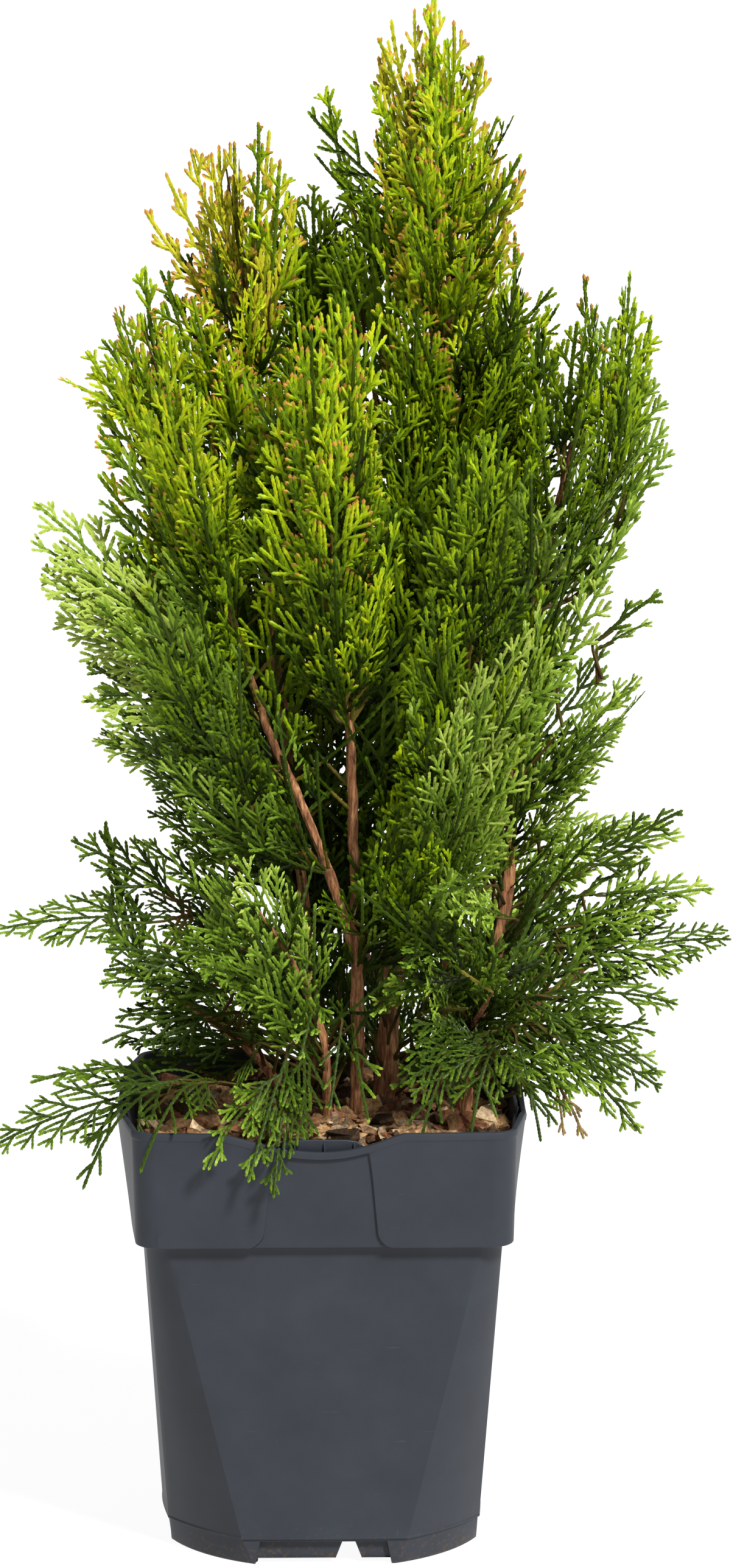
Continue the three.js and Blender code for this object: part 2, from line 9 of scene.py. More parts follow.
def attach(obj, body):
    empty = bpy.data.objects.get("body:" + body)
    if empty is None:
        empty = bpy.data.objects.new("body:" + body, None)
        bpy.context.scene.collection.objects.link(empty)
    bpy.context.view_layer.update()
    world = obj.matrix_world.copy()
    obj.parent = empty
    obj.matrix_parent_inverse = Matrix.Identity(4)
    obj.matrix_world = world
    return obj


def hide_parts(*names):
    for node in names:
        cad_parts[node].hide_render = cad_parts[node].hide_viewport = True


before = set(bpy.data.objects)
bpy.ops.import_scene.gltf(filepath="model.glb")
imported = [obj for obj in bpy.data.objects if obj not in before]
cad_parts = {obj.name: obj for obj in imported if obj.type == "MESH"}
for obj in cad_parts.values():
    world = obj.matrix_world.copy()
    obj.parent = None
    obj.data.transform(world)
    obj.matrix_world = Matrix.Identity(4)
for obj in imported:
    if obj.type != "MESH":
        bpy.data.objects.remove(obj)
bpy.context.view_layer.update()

scene = bpy.context.scene

# ---------- camera ----------
# A long lens from the front, a little above the top of the crown and tipped down on to the pot,
# so that the mulch shows behind the front rim.

TIPPED_DOWN = 9.75  # degrees
TURNED_RIGHT = 1.04

camera_lens = bpy.data.cameras.new("camera")
camera_lens.lens = 125.4
camera = bpy.data.objects.new("camera", camera_lens)
camera.location = (-0.0238, -2.4, 0.752)
camera.rotation_euler = (math.radians(90 - TIPPED_DOWN), 0, math.radians(-TURNED_RIGHT))
scene.collection.objects.link(camera)
scene.camera = camera

# ---------- nursery pot ----------
# A square container injection-moulded in recycled polypropylene, dark grey right through: a
# tapered body on a notched foot ring, and a stepped-out band whose rim dips at each label slot.


def linear(hex_colour):
    """An sRGB hex colour as linear red, green, blue and alpha."""
    channels = [int(hex_colour[i : i + 2], 16) / 255 for i in (1, 3, 5)]
    return [c / 12.92 if c <= 0.04045 else ((c + 0.055) / 1.055) ** 2.4 for c in channels] + [1]


def node(tree, kind, settings=None, links=None, stops=()):
    """Adds a node, sets its properties and input values, links its inputs from output sockets, and
    gives a colour ramp its stops, each a place and a colour."""
    made = tree.nodes.new(kind)
    for key, value in (settings or {}).items():
        if hasattr(made, key):
            setattr(made, key, value)
        else:
            made.inputs[key].default_value = value
    for key, socket in (links or {}).items():
        tree.links.new(socket, made.inputs[key])
    if stops:
        ramp = made.color_ramp.elements
        ramp[0].position, ramp[1].position = stops[0][0], stops[-1][0]
        for place, _ in stops[1:-1]:
            ramp.new(place)
        for stop, (_, colour) in zip(ramp, stops):
            stop.color = linear(colour)
    return made


def new_material(name, settings):
    """A material whose Principled shader starts with the settings given."""
    material = bpy.data.materials.new(name)
    material.use_nodes = True
    shader = material.node_tree.nodes["Principled BSDF"]
    for key, value in settings.items():
        shader.inputs[key].default_value = value
    return material, material.node_tree, shader


def add_piece(name, points, faces, materials, choice=None, smooth=False):
    """A joined mesh object from points in millimetres and faces, each with its material's number."""
    mesh = bpy.data.meshes.new(name)
    points = np.asarray(points, np.float32) * 0.001
    mesh.vertices.add(len(points))
    mesh.vertices.foreach_set("co", points.ravel())
    if isinstance(faces, np.ndarray):
        corners = faces.ravel()
        starts = np.arange(len(faces)) * faces.shape[1]
    else:
        corners = np.array([v for face in faces for v in face])
        starts = np.concatenate([[0], np.cumsum([len(face) for face in faces])[:-1]])
    mesh.loops.add(len(corners))
    mesh.loops.foreach_set("vertex_index", corners.astype(np.int32))
    mesh.polygons.add(len(starts))
    mesh.polygons.foreach_set("loop_start", starts.astype(np.int32))
    if choice is not None:
        mesh.polygons.foreach_set("material_index", np.asarray(choice, np.int32))
    mesh.update(calc_edges=True)
    mesh.validate()
    mesh.polygons.foreach_set("use_smooth", np.full(len(mesh.polygons), smooth))
    for material in materials:
        mesh.materials.append(material)
    piece = bpy.data.objects.new(name, mesh)
    scene.collection.objects.link(piece)
    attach(piece, "root")
    return piece


def moulded_polypropylene():
    """Matt grey polypropylene off a spark-eroded mould: a soft sheen, faint clouding, a fine grain, a
    few pale scuffs, and brown soil dust that thickens round the foot, where it is also painted shade."""
    gloss = {"Roughness": 0.5, "Specular IOR Level": 0.28}
    material, tree, shader = new_material("moulded_polypropylene", gloss)
    place = node(tree, "ShaderNodeTexCoord").outputs["Object"]

    def pattern(size_mm, detail, rough, vector):
        settings = {"Scale": 1000 / size_mm, "Detail": detail, "Roughness": rough}
        return node(tree, "ShaderNodeTexNoise", settings, {"Vector": vector}).outputs["Fac"]

    def overlaid(below, colour, amount, first, full, most):
        """A colour laid over what is below, from none where the amount is first to most where full."""
        limits = {"From Min": first, "From Max": full, "To Max": most}
        share = node(tree, "ShaderNodeMapRange", limits, {"Value": amount}).outputs["Result"]
        settings = {"data_type": "RGBA", "B": linear(colour)}
        return node(tree, "ShaderNodeMix", settings, {"Factor": share, "A": below}).outputs["Result"]

    clouds = pattern(30, 4, 0.6, place)
    tone = node(tree, "ShaderNodeValToRGB", {}, {"Fac": clouds}, [(0.3, "#272a30"), (0.7, "#2d3138")])

    drawn_out = {"Rotation": (0.3, 0.5, 0), "Scale": (1, 1, 14)}
    slanted = node(tree, "ShaderNodeMapping", drawn_out, {"Vector": place}).outputs["Vector"]
    scuffs = pattern(20, 3, 0.7, slanted)
    worn = overlaid(tone.outputs["Color"], "#5a5e64", scuffs, 0.68, 0.78, 0.22)

    specks = pattern(2.2, 3, 0.75, place)
    height = node(tree, "ShaderNodeSeparateXYZ", {}, {"Vector": place}).outputs["Z"]
    # brown dust specks, laid thicker near the ground as painted shade over the foot and its pocket
    dust_and_shade_near_ground = {"From Min": 0.0, "From Max": 0.026, "To Min": 0.2, "To Max": 0.0}
    low = node(tree, "ShaderNodeMapRange", dust_and_shade_near_ground, {"Value": height}).outputs["Result"]
    dust = node(tree, "ShaderNodeMath", {"operation": "ADD"}, {0: specks, 1: low}).outputs["Value"]
    dusty_and_shaded = overlaid(worn, "#4e3c28", dust, 0.7, 0.78, 0.6)
    tree.links.new(dusty_and_shaded, shader.inputs["Base Color"])

    grain = pattern(0.6, 2, 0.5, place)
    relief = node(tree, "ShaderNodeBump", {"Strength": 0.14, "Distance": 0.0002}, {"Height": grain})
    tree.links.new(relief.outputs["Normal"], shader.inputs["Normal"])
    return material


# each level: a side's distance from the axis, half its flat's length, a corner's distance, share of the bow
FOOT = np.array([68.6, 31.6, 75.6, 0])
UNDER_LEDGE = np.array([69.1, 36.7, 77.4, 0])
LEDGE = np.array([69.8, 37, 78.1, 0])
BODY_TOP = np.array([78.4, 69, 105.5, 0])
BAND_LOW = np.array([83, 71.5, 112.6, 0])
RIM = np.array([84.5, 73, 114.7, 1])
FLOOR_UNDERSIDE = 11.5
FLOOR_TOP = 14
LEDGE_FOOT = 11.6
LEDGE_TOP = 12.6
BAND_FOOT = 148
POT_HEIGHT = 200
BOW = np.array([2.5, 8, 4, 9.2])  # how far each side bows out at the rim: front, right, back, left
BODY_BOW = np.array([0.6, 1.5, 1.2, 3.4])  # and below the band
DIP_DEPTH = 8.2
DIP_REACH = (46, 35)  # of the dip to its left and right
POCKET_TOP = 10.2
POCKET_FACE = 66.4
LIFT = 2.4  # of a side's middle off the ground
NOTCH_TOP = 10.6
RING_THICK = 5
PANEL_DEPTH = 1.2
PANEL_FOOT = 156  # below it the panel's edges flare out
LIP = 3.6  # height of the plain strip under the rim
BAND_WALL = 2.4
WALL = 1.6
SIDE_PARTS = [14, 4, 9, 3, 7, 4, 14]  # columns between the features along a side
NOTCH_PART = 3
CORNER_STEPS = 12
FOOT_HEIGHTS = [NOTCH_TOP, POCKET_TOP, 7, 4, 1.6, 0.5]


def side_keys(height, half):
    """Along a side at a height: its ends, the edges of pocket or panel, and the notch between them."""
    foot = 2 * min(height, POCKET_TOP) / POCKET_TOP
    low = [-30.8 + foot, -30.2 + foot, 5 + 1.5 * foot, 16.4 - 1.5 * foot, 29.2 - foot, 29.8 - foot]
    up = max(0, (height - PANEL_FOOT) / 38)
    flare = 8 * (1 - math.sqrt(1 - min(1, max(0, (PANEL_FOOT - height) / 8)) ** 2))
    left, right = -26.3 + 4.9 * up - flare, 22.8 - 3.5 * up + flare
    high = [left - 0.5, left + 0.5, -5, 8, right - 0.5, right + 0.5]
    mix = np.clip((height - 20) / 120, 0, 1)
    return np.array([-half, *(np.array(low) * (1 - mix) + np.array(high) * mix), half])


def pot_columns():
    """Each column round the pot: its side, its part of the side, its share of that, and of the corner."""
    columns = []
    for side in range(4):
        for part, steps in enumerate(SIDE_PARTS):
            columns += [(side, part, i / steps, 0) for i in range(steps)]
        columns += [(side, len(SIDE_PARTS), 0, i / CORNER_STEPS) for i in range(CORNER_STEPS)]
    return np.array(columns, float)


COLUMNS = pot_columns()


def recessed(share_up):
    """How far each column lies in the pocket or panel of its side, from 0 to share_up."""
    _, part, share, _ = COLUMNS.T
    smooth = share * share * (3 - 2 * share)
    depth = np.where((part > 1) & (part < 5), 1.0, 0.0)
    depth = np.where(part == 1, smooth, depth)
    return np.where(part == 5, 1 - smooth, depth) * share_up


def rim_dip(x):
    """How far the rim dips at a place along a side."""
    along = (x + 1) / np.where(x < -1, DIP_REACH[0], DIP_REACH[1])
    return DIP_DEPTH * np.clip(1 - along**2, 0, 1) ** np.where(x < -1, 1.5, 1.15)


def turned_to(side, x, y, z):
    """Points laid out on the front side, turned round to another."""
    cos, sin = np.cos(side * math.pi / 2), np.sin(side * math.pi / 2)
    return np.column_stack([x * cos - y * sin, x * sin + y * cos, z])


def quads(low, high, count):
    """Four-sided faces between two rings of count points that start at low and at high."""
    ends = [(i, (i + 1) % count) for i in range(count)]
    return [(low + i, low + k, high + k, high + i) for i, k in ends]


def pot_ring(height, level, inset=0.0, sunk=0.0, band=False, foot=False):
    """One ring of points round the pot, drawn in by inset and sunk where its sides have a recess."""
    side, part, share, turn = COLUMNS.T
    side, part = side.astype(int), part.astype(int)
    keys = side_keys(height, level[1] - 0.4 * inset)
    on_side = part < len(SIDE_PARTS)
    ends = np.append(keys, keys[-1])
    x = ends[part] + share * (ends[part + 1] - ends[part])
    x = np.where(on_side, x, keys[-1])
    z = np.full(len(COLUMNS), float(height))
    if foot:
        z += recessed(LIFT) * (1 - height / NOTCH_TOP)
    levels = np.tile(level, (len(COLUMNS), 1))
    if band:
        z -= rim_dip(x) * on_side * np.clip((height - 180) / 16, 0, 1)
        levels = BAND_LOW + (RIM - BAND_LOW) * ((z - BAND_FOOT) / (POT_HEIGHT - BAND_FOOT))[:, None]
    flat, half, diagonal, bow = (levels - inset * np.array([1, 0.4, 1, 0])).T
    bulge = bow * BOW[side] + BODY_BOW[side] * np.clip(height / 12, 0, 1) * (1 - bow)
    out = flat + bulge * np.cos(np.clip(x / half, -1, 1) * math.pi / 2)
    out = out - recessed(1.0) * sunk
    centre = (half**2 + flat**2 - diagonal**2) / (2 * (half + flat - math.sqrt(2) * diagonal))
    radius = diagonal - math.sqrt(2) * centre
    start = np.arctan2(centre - flat, half - centre)
    angle = start + (-math.pi / 2 - 2 * start) * turn
    x = np.where(on_side, x, centre + radius * np.cos(angle))
    y = np.where(on_side, -out, -centre + radius * np.sin(angle))
    return turned_to(side, x, y, z)


def pot_rings():
    """The pot's skin as rings: up inside the foot ring, up the outside, over the rim, down inside."""

    def body(height):
        return LEDGE + (BODY_TOP - LEDGE) * min(1, (height - LEDGE_TOP) / (BAND_FOOT - LEDGE_TOP))

    rings = [pot_ring(FLOOR_UNDERSIDE, FOOT, RING_THICK)]
    rings += [pot_ring(height, FOOT, RING_THICK, foot=True) for height in FOOT_HEIGHTS]
    rings += [pot_ring(0, FOOT, inset, 1, foot=True) for inset in (RING_THICK - 0.5, 0.6)]
    for height in reversed(FOOT_HEIGHTS):
        level = FOOT + (UNDER_LEDGE - FOOT) * height / LEDGE_FOOT
        sunk = level[0] - POCKET_FACE if height <= POCKET_TOP else 0
        rings.append(pot_ring(height, level, 0.1 if height == 0.5 else 0, sunk, foot=True))
    rings.append(pot_ring(LEDGE_FOOT, UNDER_LEDGE))
    for height, inset in [(11.8, -0.05), (12.2, -0.22), (LEDGE_TOP, -0.18), (13.2, 0)]:
        rings.append(pot_ring(height, LEDGE, inset))
    for height in [22, 34, 48, 62, 76, 90, 104, 118, 132, 144, 147.2]:
        rings.append(pot_ring(height, body(height)))
    rings.append(pot_ring(147.8, BODY_TOP, -0.25))
    for height, inset in [(147.9, 1.6), (147.92, 0.5), (148.15, 0.12)]:
        rings.append(pot_ring(height, BAND_LOW, inset, PANEL_DEPTH))
    panel = [148.6, 149.4, 150.6, 152.2, 154, PANEL_FOOT, 162, 169, 176, 182, 187, 192]
    for height in panel + [POT_HEIGHT - LIP - 0.5]:
        rings.append(pot_ring(height, RIM, 0, PANEL_DEPTH, band=True))
    rings.append(pot_ring(POT_HEIGHT - LIP, RIM, -0.05, 0.4 * PANEL_DEPTH, band=True))
    lip = [(LIP - 0.4, -0.3), (0.9, -0.3), (0.35, -0.12), (0.05, 0.35), (0, 0.9), (0, 1.6)]
    lip += [(0.2, 2.05), (0.7, 2.35)] + [(drop, BAND_WALL) for drop in (6, 15, 30, 50)]
    for drop, inset in lip:
        rings.append(pot_ring(POT_HEIGHT - drop, RIM, inset, band=True))
    for height in [150, 120, 80, 40, FLOOR_TOP]:
        rings.append(pot_ring(height, body(height), WALL))
    return rings


def pot_shell():
    """The rings joined up, with the floor's two sides, and the notches cut through the foot ring."""
    rings = pot_rings()
    count = len(COLUMNS)
    points = np.vstack(rings + [[0, 0, FLOOR_UNDERSIDE], [0, 0, FLOOR_TOP]])
    part = COLUMNS[:, 1]
    steps = len(FOOT_HEIGHTS)
    inner = list(range(1, steps + 1))  # the foot's rings on its inside, from the notch's top down
    outer = list(range(2 * steps + 2, steps + 2, -1))
    faces = []
    for i in range(len(rings) - 1):
        strip = quads(i * count, (i + 1) * count, count)
        in_foot = inner[0] <= i < outer[0]
        faces += [face for j, face in enumerate(strip) if not (in_foot and part[j] == NOTCH_PART)]
    last = (len(rings) - 1) * count
    for j in range(count):
        k = (j + 1) % count
        faces += [(j, len(points) - 2, k), (last + j, last + k, len(points) - 1)]
    notch = [j for j in range(count) if part[j] == NOTCH_PART]
    top_in, top_out = inner[0] * count, outer[0] * count
    faces += [(top_in + j, top_in + j + 1, top_out + j + 1, top_out + j) for j in notch]
    for side in range(4):
        own = [j for j in notch if COLUMNS[j, 0] == side]
        for edge in (own[0], own[-1] + 1):
            down = [ring * count + edge for ring in inner + [steps + 1]]
            up = [ring * count + edge for ring in outer + [steps + 2]]
            faces += list(zip(down, down[1:], up[1:], up))
    return points, faces


PLATE_FACE = 78.8  # distance of the label slot's inner plate from the axis


def slot_parts():
    """Behind each dip: the label slot's inner plate, its two webs, and three small ribs."""
    points = []
    faces = []

    def slab(outline, near, far, side):
        """A flat part from near to far in front of the plate's face."""
        start = len(points)
        count = len(outline)
        x, z = np.array(outline).T
        lean = (BOW[side] + 1) / (POT_HEIGHT - BAND_FOOT) * (z - BAND_FOOT)
        for front in (near, far):
            points.extend(turned_to(side, x, -(PLATE_FACE + front + lean), z))
        faces.append(tuple(start + i for i in range(count)))
        faces.append(tuple(start + 2 * count - 1 - i for i in range(count)))
        faces.extend(quads(start + count, start, count))

    def upright(x, wide, foot, top, near, far, side):
        slab([(x, foot), (x + wide, foot), (x + wide, top), (x, top)], near, far, side)

    arch = [(-22, 149), (18, 149), (18, 190.4), (16.8, 193.6), (14, 195.6), (9, 196.3), (-2, 196.4)]
    arch += [(-13, 196.3), (-18, 195.6), (-20.8, 193.6), (-22, 190.4)]
    for side in range(4):
        slab(arch, 0, -1.4, side)
        for x in (-22, 16.6):
            upright(x, 1.4, 149, 189.4, 3.2, -0.3, side)
        for x in (-13.5, -0.5, 12.5):
            upright(x, 0.9, 150, 195, 0.9, -0.2, side)
    return points, faces


def centre_pad():
    """The round pad under the middle of the floor, which stands on the ground as the foot ring does."""
    count = 32
    turn = np.linspace(0, 2 * math.pi, count, endpoint=False)
    levels = [(0, 14.4), (0.6, 15), (LEDGE_FOOT, 14)]
    points = [(radius * math.cos(a), radius * math.sin(a), z) for z, radius in levels for a in turn]
    faces = [tuple(range(count))[::-1], tuple(range(2 * count, 3 * count))]
    return points, faces + quads(0, count, count) + quads(count, 2 * count, count)


polypropylene = moulded_polypropylene()
pot_parts = {"pot_shell": pot_shell(), "pot_slots": slot_parts(), "pot_pad": centre_pad()}
for name, (points, faces) in pot_parts.items():
    piece = add_piece(name, points, faces, [polypropylene], smooth=True)
    piece.data.set_sharp_from_angle(angle=math.radians(28))
    if name == "pot_slots":
        rounding = piece.modifiers.new("rounding", "BEVEL")
        rounding.width = 0.0003
        rounding.segments = 2
    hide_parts("pot")

# ---------- bark mulch ----------
# A loose layer of composted pine bark over the root ball: angular chips and flakes that lie at all
# angles, with dark dust between them. It is heaped a little towards the front.


DUST_LEVEL = 184.5


def mulch_height(x, y):
    """The height in millimetres of the mulch's dust at a place."""
    heap = 9 * np.exp(-(((x - 22) / 56) ** 2) - ((y + 50) / 28) ** 2)
    hump = 6 * np.exp(-(((x - 30) / 30) ** 2) - ((y - 6) / 26) ** 2)
    lumps = 1.6 * np.sin(x / 7.1 + 1.3) * np.sin(y / 6.3 + 0.4) + 1.1 * np.sin(x / 3.7 + y / 5.1)
    back = 5 * np.exp(-(((x - 40) / 50) ** 2) - ((y - 60) / 40) ** 2)
    sunk_at_sides = 1.5 * (np.abs(x) / 78) ** 4
    return DUST_LEVEL + heap + hump + back + lumps - sunk_at_sides


def streaked_bark(name, gloss, drawn_out, size_mm, detail, rough, stops, raised):
    """A bark's material: its gloss, how its streaks are drawn out along the grain, their size, detail
    and roughness, their colours from furrow to ridge, and how hard and how high they stand up."""
    material, tree, shader = new_material(name, gloss)
    place = node(tree, "ShaderNodeTexCoord").outputs["Object"]
    along = node(tree, "ShaderNodeMapping", drawn_out, {"Vector": place}).outputs["Vector"]
    settings = {"Scale": 1000 / size_mm, "Detail": detail, "Roughness": rough}
    streaks = node(tree, "ShaderNodeTexNoise", settings, {"Vector": along}).outputs["Fac"]
    tone = node(tree, "ShaderNodeValToRGB", {}, {"Fac": streaks}, stops)
    tree.links.new(tone.outputs["Color"], shader.inputs["Base Color"])
    if raised:
        settings = {"Strength": raised[0], "Distance": raised[1]}
        relief = node(tree, "ShaderNodeBump", settings, {"Height": streaks})
        tree.links.new(relief.outputs["Normal"], shader.inputs["Normal"])
    return material


def composted_bark(name, dark, light, size_mm):
    """Pine bark: dull, dry and fibrous, its tone streaked along the grain."""
    gloss = {"Roughness": 0.88, "Specular IOR Level": 0.25}
    drawn_out = {"Rotation": (0.5, 0.9, 0.7), "Scale": (1, 0.22, 1)}
    stops = [(0.34, dark), (0.66, light)]
    return streaked_bark(name, gloss, drawn_out, size_mm, 6, 0.7, stops, (0.7, 0.0006))


bark_tones = [
    composted_bark("bark_dust", "#150c05", "#3a2816", 1.2),
    composted_bark("wet_bark", "#1e1108", "#58402a", 1.6),
    composted_bark("red_bark", "#3e2214", "#93603f", 1.8),
    composted_bark("brown_bark", "#402c1a", "#9c774f", 1.8),
    composted_bark("grey_bark", "#57452f", "#b39a78", 1.6),
    composted_bark("tan_wood", "#7d5a36", "#d0a573", 1.4),
    composted_bark("pale_wood", "#a08058", "#e6cba4", 1.4),
]
TONE_ODDS = np.array([0.03, 0.15, 0.2, 0.3, 0.17, 0.11, 0.04])
PALER_AT_FRONT = np.array([0, -0.1, -0.08, -0.02, 0.06, 0.1, 0.04])
DUST_STEP = 2.4  # mm between the points of the dust
DUST_HALF = 82  # mm from the pot's axis to the dust's side
DUST_CORNER = 111.5  # and to its corner
CHIPS = 1500  # chips scattered, of which some don't fit
CHIP_ROOM = 79  # mm from the axis within which a chip's middle lies
BOW_AT_MULCH = 0.72  # share of the rim's bow that the sides have there
chance = np.random.default_rng(186)


def into_pot(places):
    """Places of a square laid out over the pot's inside, with its bowed sides and round corners."""
    x, y = places[:, 0], places[:, 1]
    right = np.where(x > 0, BOW[1], BOW[3]) * np.cos(y / 90 * math.pi / 2)
    back = np.where(y > 0, BOW[2], BOW[0]) * np.cos(x / 90 * math.pi / 2)
    moved = places.copy()
    moved[:, 0] *= 1 + BOW_AT_MULCH * right / DUST_HALF
    moved[:, 1] *= 1 + BOW_AT_MULCH * back / DUST_HALF
    reach = np.hypot(x, y)
    moved[:, :2] *= np.minimum(1, DUST_CORNER / np.maximum(reach, 1))[:, None]
    return moved


def bark_chip(rng):
    """A chip as points and faces: three uneven outlines of the same count, one over the other."""
    long = rng.uniform(5, 12) if rng.random() < 0.7 else rng.uniform(10, 19)
    wide = long * rng.uniform(0.3, 0.85)
    thick = wide * rng.uniform(0.3, 0.75)
    n = int(rng.integers(5, 8))
    turn = (np.arange(n) + rng.uniform(-0.3, 0.3, n)) * 2 * math.pi / n
    reach = rng.uniform(0.78, 1.15, n)
    outline = np.column_stack([np.cos(turn) * reach * long / 2, np.sin(turn) * reach * wide / 2])
    layers = []
    for height, share in ((-0.5, rng.uniform(0.7, 0.95)), (0.05, 1.0), (0.5, rng.uniform(0.65, 0.95))):
        jitter = rng.normal(0, 0.06, (n, 2)) * [long, wide]
        rise = height * thick + rng.normal(0, 0.13 * thick, n)
        layers.append(np.column_stack([outline * share + jitter, rise]))
    faces = [tuple(range(n))[::-1], tuple(range(2 * n, 3 * n))]
    return np.vstack(layers), faces + quads(0, n, n) + quads(n, 2 * n, n)


def tumbled(points, rng, tilt):
    """The points turned at random: any way round, and tipped by about tilt in radians."""
    spin = rng.uniform(0, 2 * math.pi)
    lean, way = rng.normal(0, tilt), rng.uniform(0, 2 * math.pi)
    cos, sin = math.cos(spin), math.sin(spin)
    turned = points @ np.array([[cos, sin, 0], [-sin, cos, 0], [0, 0, 1]])
    axis = np.array([math.cos(way), math.sin(way), 0])
    along = np.outer(turned @ axis, axis)
    return along + (turned - along) * math.cos(lean) + np.cross(axis, turned) * math.sin(lean)


steps = np.linspace(-DUST_HALF, DUST_HALF, int(2 * DUST_HALF / DUST_STEP))
grid_x, grid_y = np.meshgrid(steps, steps)
dust = np.column_stack([grid_x.ravel(), grid_y.ravel(), mulch_height(grid_x, grid_y).ravel()])
side_count = len(steps)
faces = [
    (i * side_count + j, i * side_count + j + 1, (i + 1) * side_count + j + 1, (i + 1) * side_count + j)
    for i in range(side_count - 1)
    for j in range(side_count - 1)
]
points = [into_pot(dust + chance.normal(0, 0.35, dust.shape) * [0, 0, 1])]
tones = [0] * len(faces)
total = len(dust)
for i in range(CHIPS):
    x, y = chance.uniform(-CHIP_ROOM, CHIP_ROOM, 2)
    chip, chip_faces = bark_chip(chance)
    size = np.abs(chip[:, :2]).max()
    if max(abs(x), abs(y)) + 0.75 * size > CHIP_ROOM + 1:
        continue
    near_front = math.exp(-(((x - 20) / 34) ** 2) - ((y + 58) / 22) ** 2)
    chip = tumbled(chip, chance, 0.75)
    lift = chance.uniform(0.2, 3.4) + 2.6 * near_front * chance.random()
    centre = into_pot(np.array([[x, y, float(mulch_height(x, y)) + lift]]))
    chip = chip + centre
    if np.hypot(*chip[:, :2].T).max() > DUST_CORNER - 1.5 or chip[:, 2].max() > POT_HEIGHT + 0.5:
        continue
    odds = TONE_ODDS + near_front * PALER_AT_FRONT
    tone = chance.choice(len(bark_tones), p=odds / odds.sum())
    faces += [tuple(v + total for v in face) for face in chip_faces]
    tones += [tone] * 2 + [tone if chance.random() < 0.6 else max(1, tone - 1) for _ in chip_faces[2:]]
    points.append(chip)
    total += len(chip)
mulch = add_piece("bark_mulch", np.vstack(points), faces, bark_tones, tones)
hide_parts("root_ball")

# ---------- stems and boughs ----------
# Several slender stems rise from the root ball, the leader the thickest, and boughs fork off them.
# Their bark is red-brown and thin, and it splits into long strips that lift and flake.

# each limb: the points that it runs through in millimetres, and its radius at the foot and at the tip
STEMS = {
    "leader": (
        [(28, 6, 182), (31, 6, 245), (38, 8, 320), (50, 10, 420), (57, 12, 520), (52, 8, 655)], 5.4, 1.1),
    "front_stem": ([(15, -14, 182), (15, -17, 270), (13, -20, 345), (7, -25, 410), (6, -30, 470)], 3.3, 1.5),
    "back_left_stem": (
        [(-3, 22, 182), (-9, 25, 290), (-20, 26, 390), (-30, 24, 480), (-38, 20, 560)], 3.1, 1.3),
    "right_stem": (
        [(62, -6, 182), (70, -8, 235), (82, -8, 290), (88, -6, 370), (101, -2, 450), (118, 0, 520)],
        3.6, 1.3),
    "back_right_stem": ([(52, 30, 182), (60, 36, 285), (68, 38, 390), (82, 32, 490)], 3.1, 1.3),
    "low_front_stem": ([(2, -32, 182), (0, -38, 228), (-12, -46, 265), (-28, -54, 292)], 2.3, 1.2),
    "low_left_stem": ([(-10, -4, 182), (-26, -8, 212), (-52, -10, 236), (-84, -12, 256)], 2.4, 1.2),
}
BOUGHS = {
    "left_bough": ([(14, -17, 268), (-4, -16, 322), (-26, -12, 372), (-46, -10, 440)], 2.4, 1.4),
    "right_low_bough": ([(66, -7, 212), (92, -8, 238), (124, -8, 262)], 2.5, 1.2),
    "front_right_bough": ([(66, -7, 218), (68, -30, 238), (74, -56, 256)], 2.1, 1.1),
    "front_mid_bough": ([(34, 7, 275), (46, -14, 308), (56, -36, 350)], 2.2, 1.2),
    "back_centre_bough": ([(30, 6, 232), (24, 34, 244), (18, 70, 256)], 2.2, 1.1),
    "back_left_bough": ([(-6, 24, 236), (-24, 48, 252), (-44, 74, 272)], 2.0, 1.1),
    "left_low_bough": ([(-8, 24, 256), (-26, 8, 274), (-54, -4, 290)], 2.0, 1.1),
    "back_right_bough": ([(56, 33, 238), (68, 56, 254), (80, 80, 272)], 2.0, 1.1),
}


def smooth_line(points, spacing):
    """Points in millimetres along a smooth curve through the points given, about a spacing apart."""
    points = np.asarray(points, float)
    ends = np.vstack([2 * points[0] - points[1], points, 2 * points[-1] - points[-2]])
    line = []
    for a, b, c, d in zip(ends, ends[1:], ends[2:], ends[3:]):
        count = max(2, int(np.linalg.norm(c - b) / spacing))
        for t in np.arange(count) / count:
            square, cube = (2 * a - 5 * b + 4 * c - d) * t**2, (3 * b - a - 3 * c + d) * t**3
            line.append(0.5 * (2 * b + (c - a) * t + square + cube))
    line.append(points[-1])
    return np.array(line)


def unit(vectors):
    """The vectors drawn to a length of one."""
    return vectors / np.maximum(np.linalg.norm(vectors, axis=-1, keepdims=True), 1e-9)


def tube(line, radii, sides, roughen=None):
    """Points and faces of a tube round a line, open at its foot. roughen(angle, along) gives a share of
    relief."""
    along = unit(np.gradient(line, axis=0))
    across = unit(np.cross(np.tile([0.3, 1.0, 0.1], (len(line), 1)), along))
    third = np.cross(along, across)
    turn = np.linspace(0, 2 * math.pi, sides, endpoint=False)
    length = np.concatenate([[0], np.cumsum(np.linalg.norm(np.diff(line, axis=0), axis=1))])
    reach = np.repeat(np.asarray(radii)[:, None], sides, axis=1)
    if roughen:
        reach = reach * (1 + roughen(turn[None, :], length[:, None]))
    rings = line[:, None, :] + across[:, None, :] * (np.cos(turn)[None, :] * reach)[..., None]
    rings = rings + third[:, None, :] * (np.sin(turn)[None, :] * reach)[..., None]
    points = np.vstack([rings.reshape(-1, 3), line[-1] + along[-1] * radii[-1]])
    faces = [face for i in range(len(line) - 1) for face in quads(i * sides, (i + 1) * sides, sides)]
    last = (len(line) - 1) * sides
    caps = [(last + j, last + (j + 1) % sides, len(points) - 1) for j in range(sides)]
    return points, faces + caps


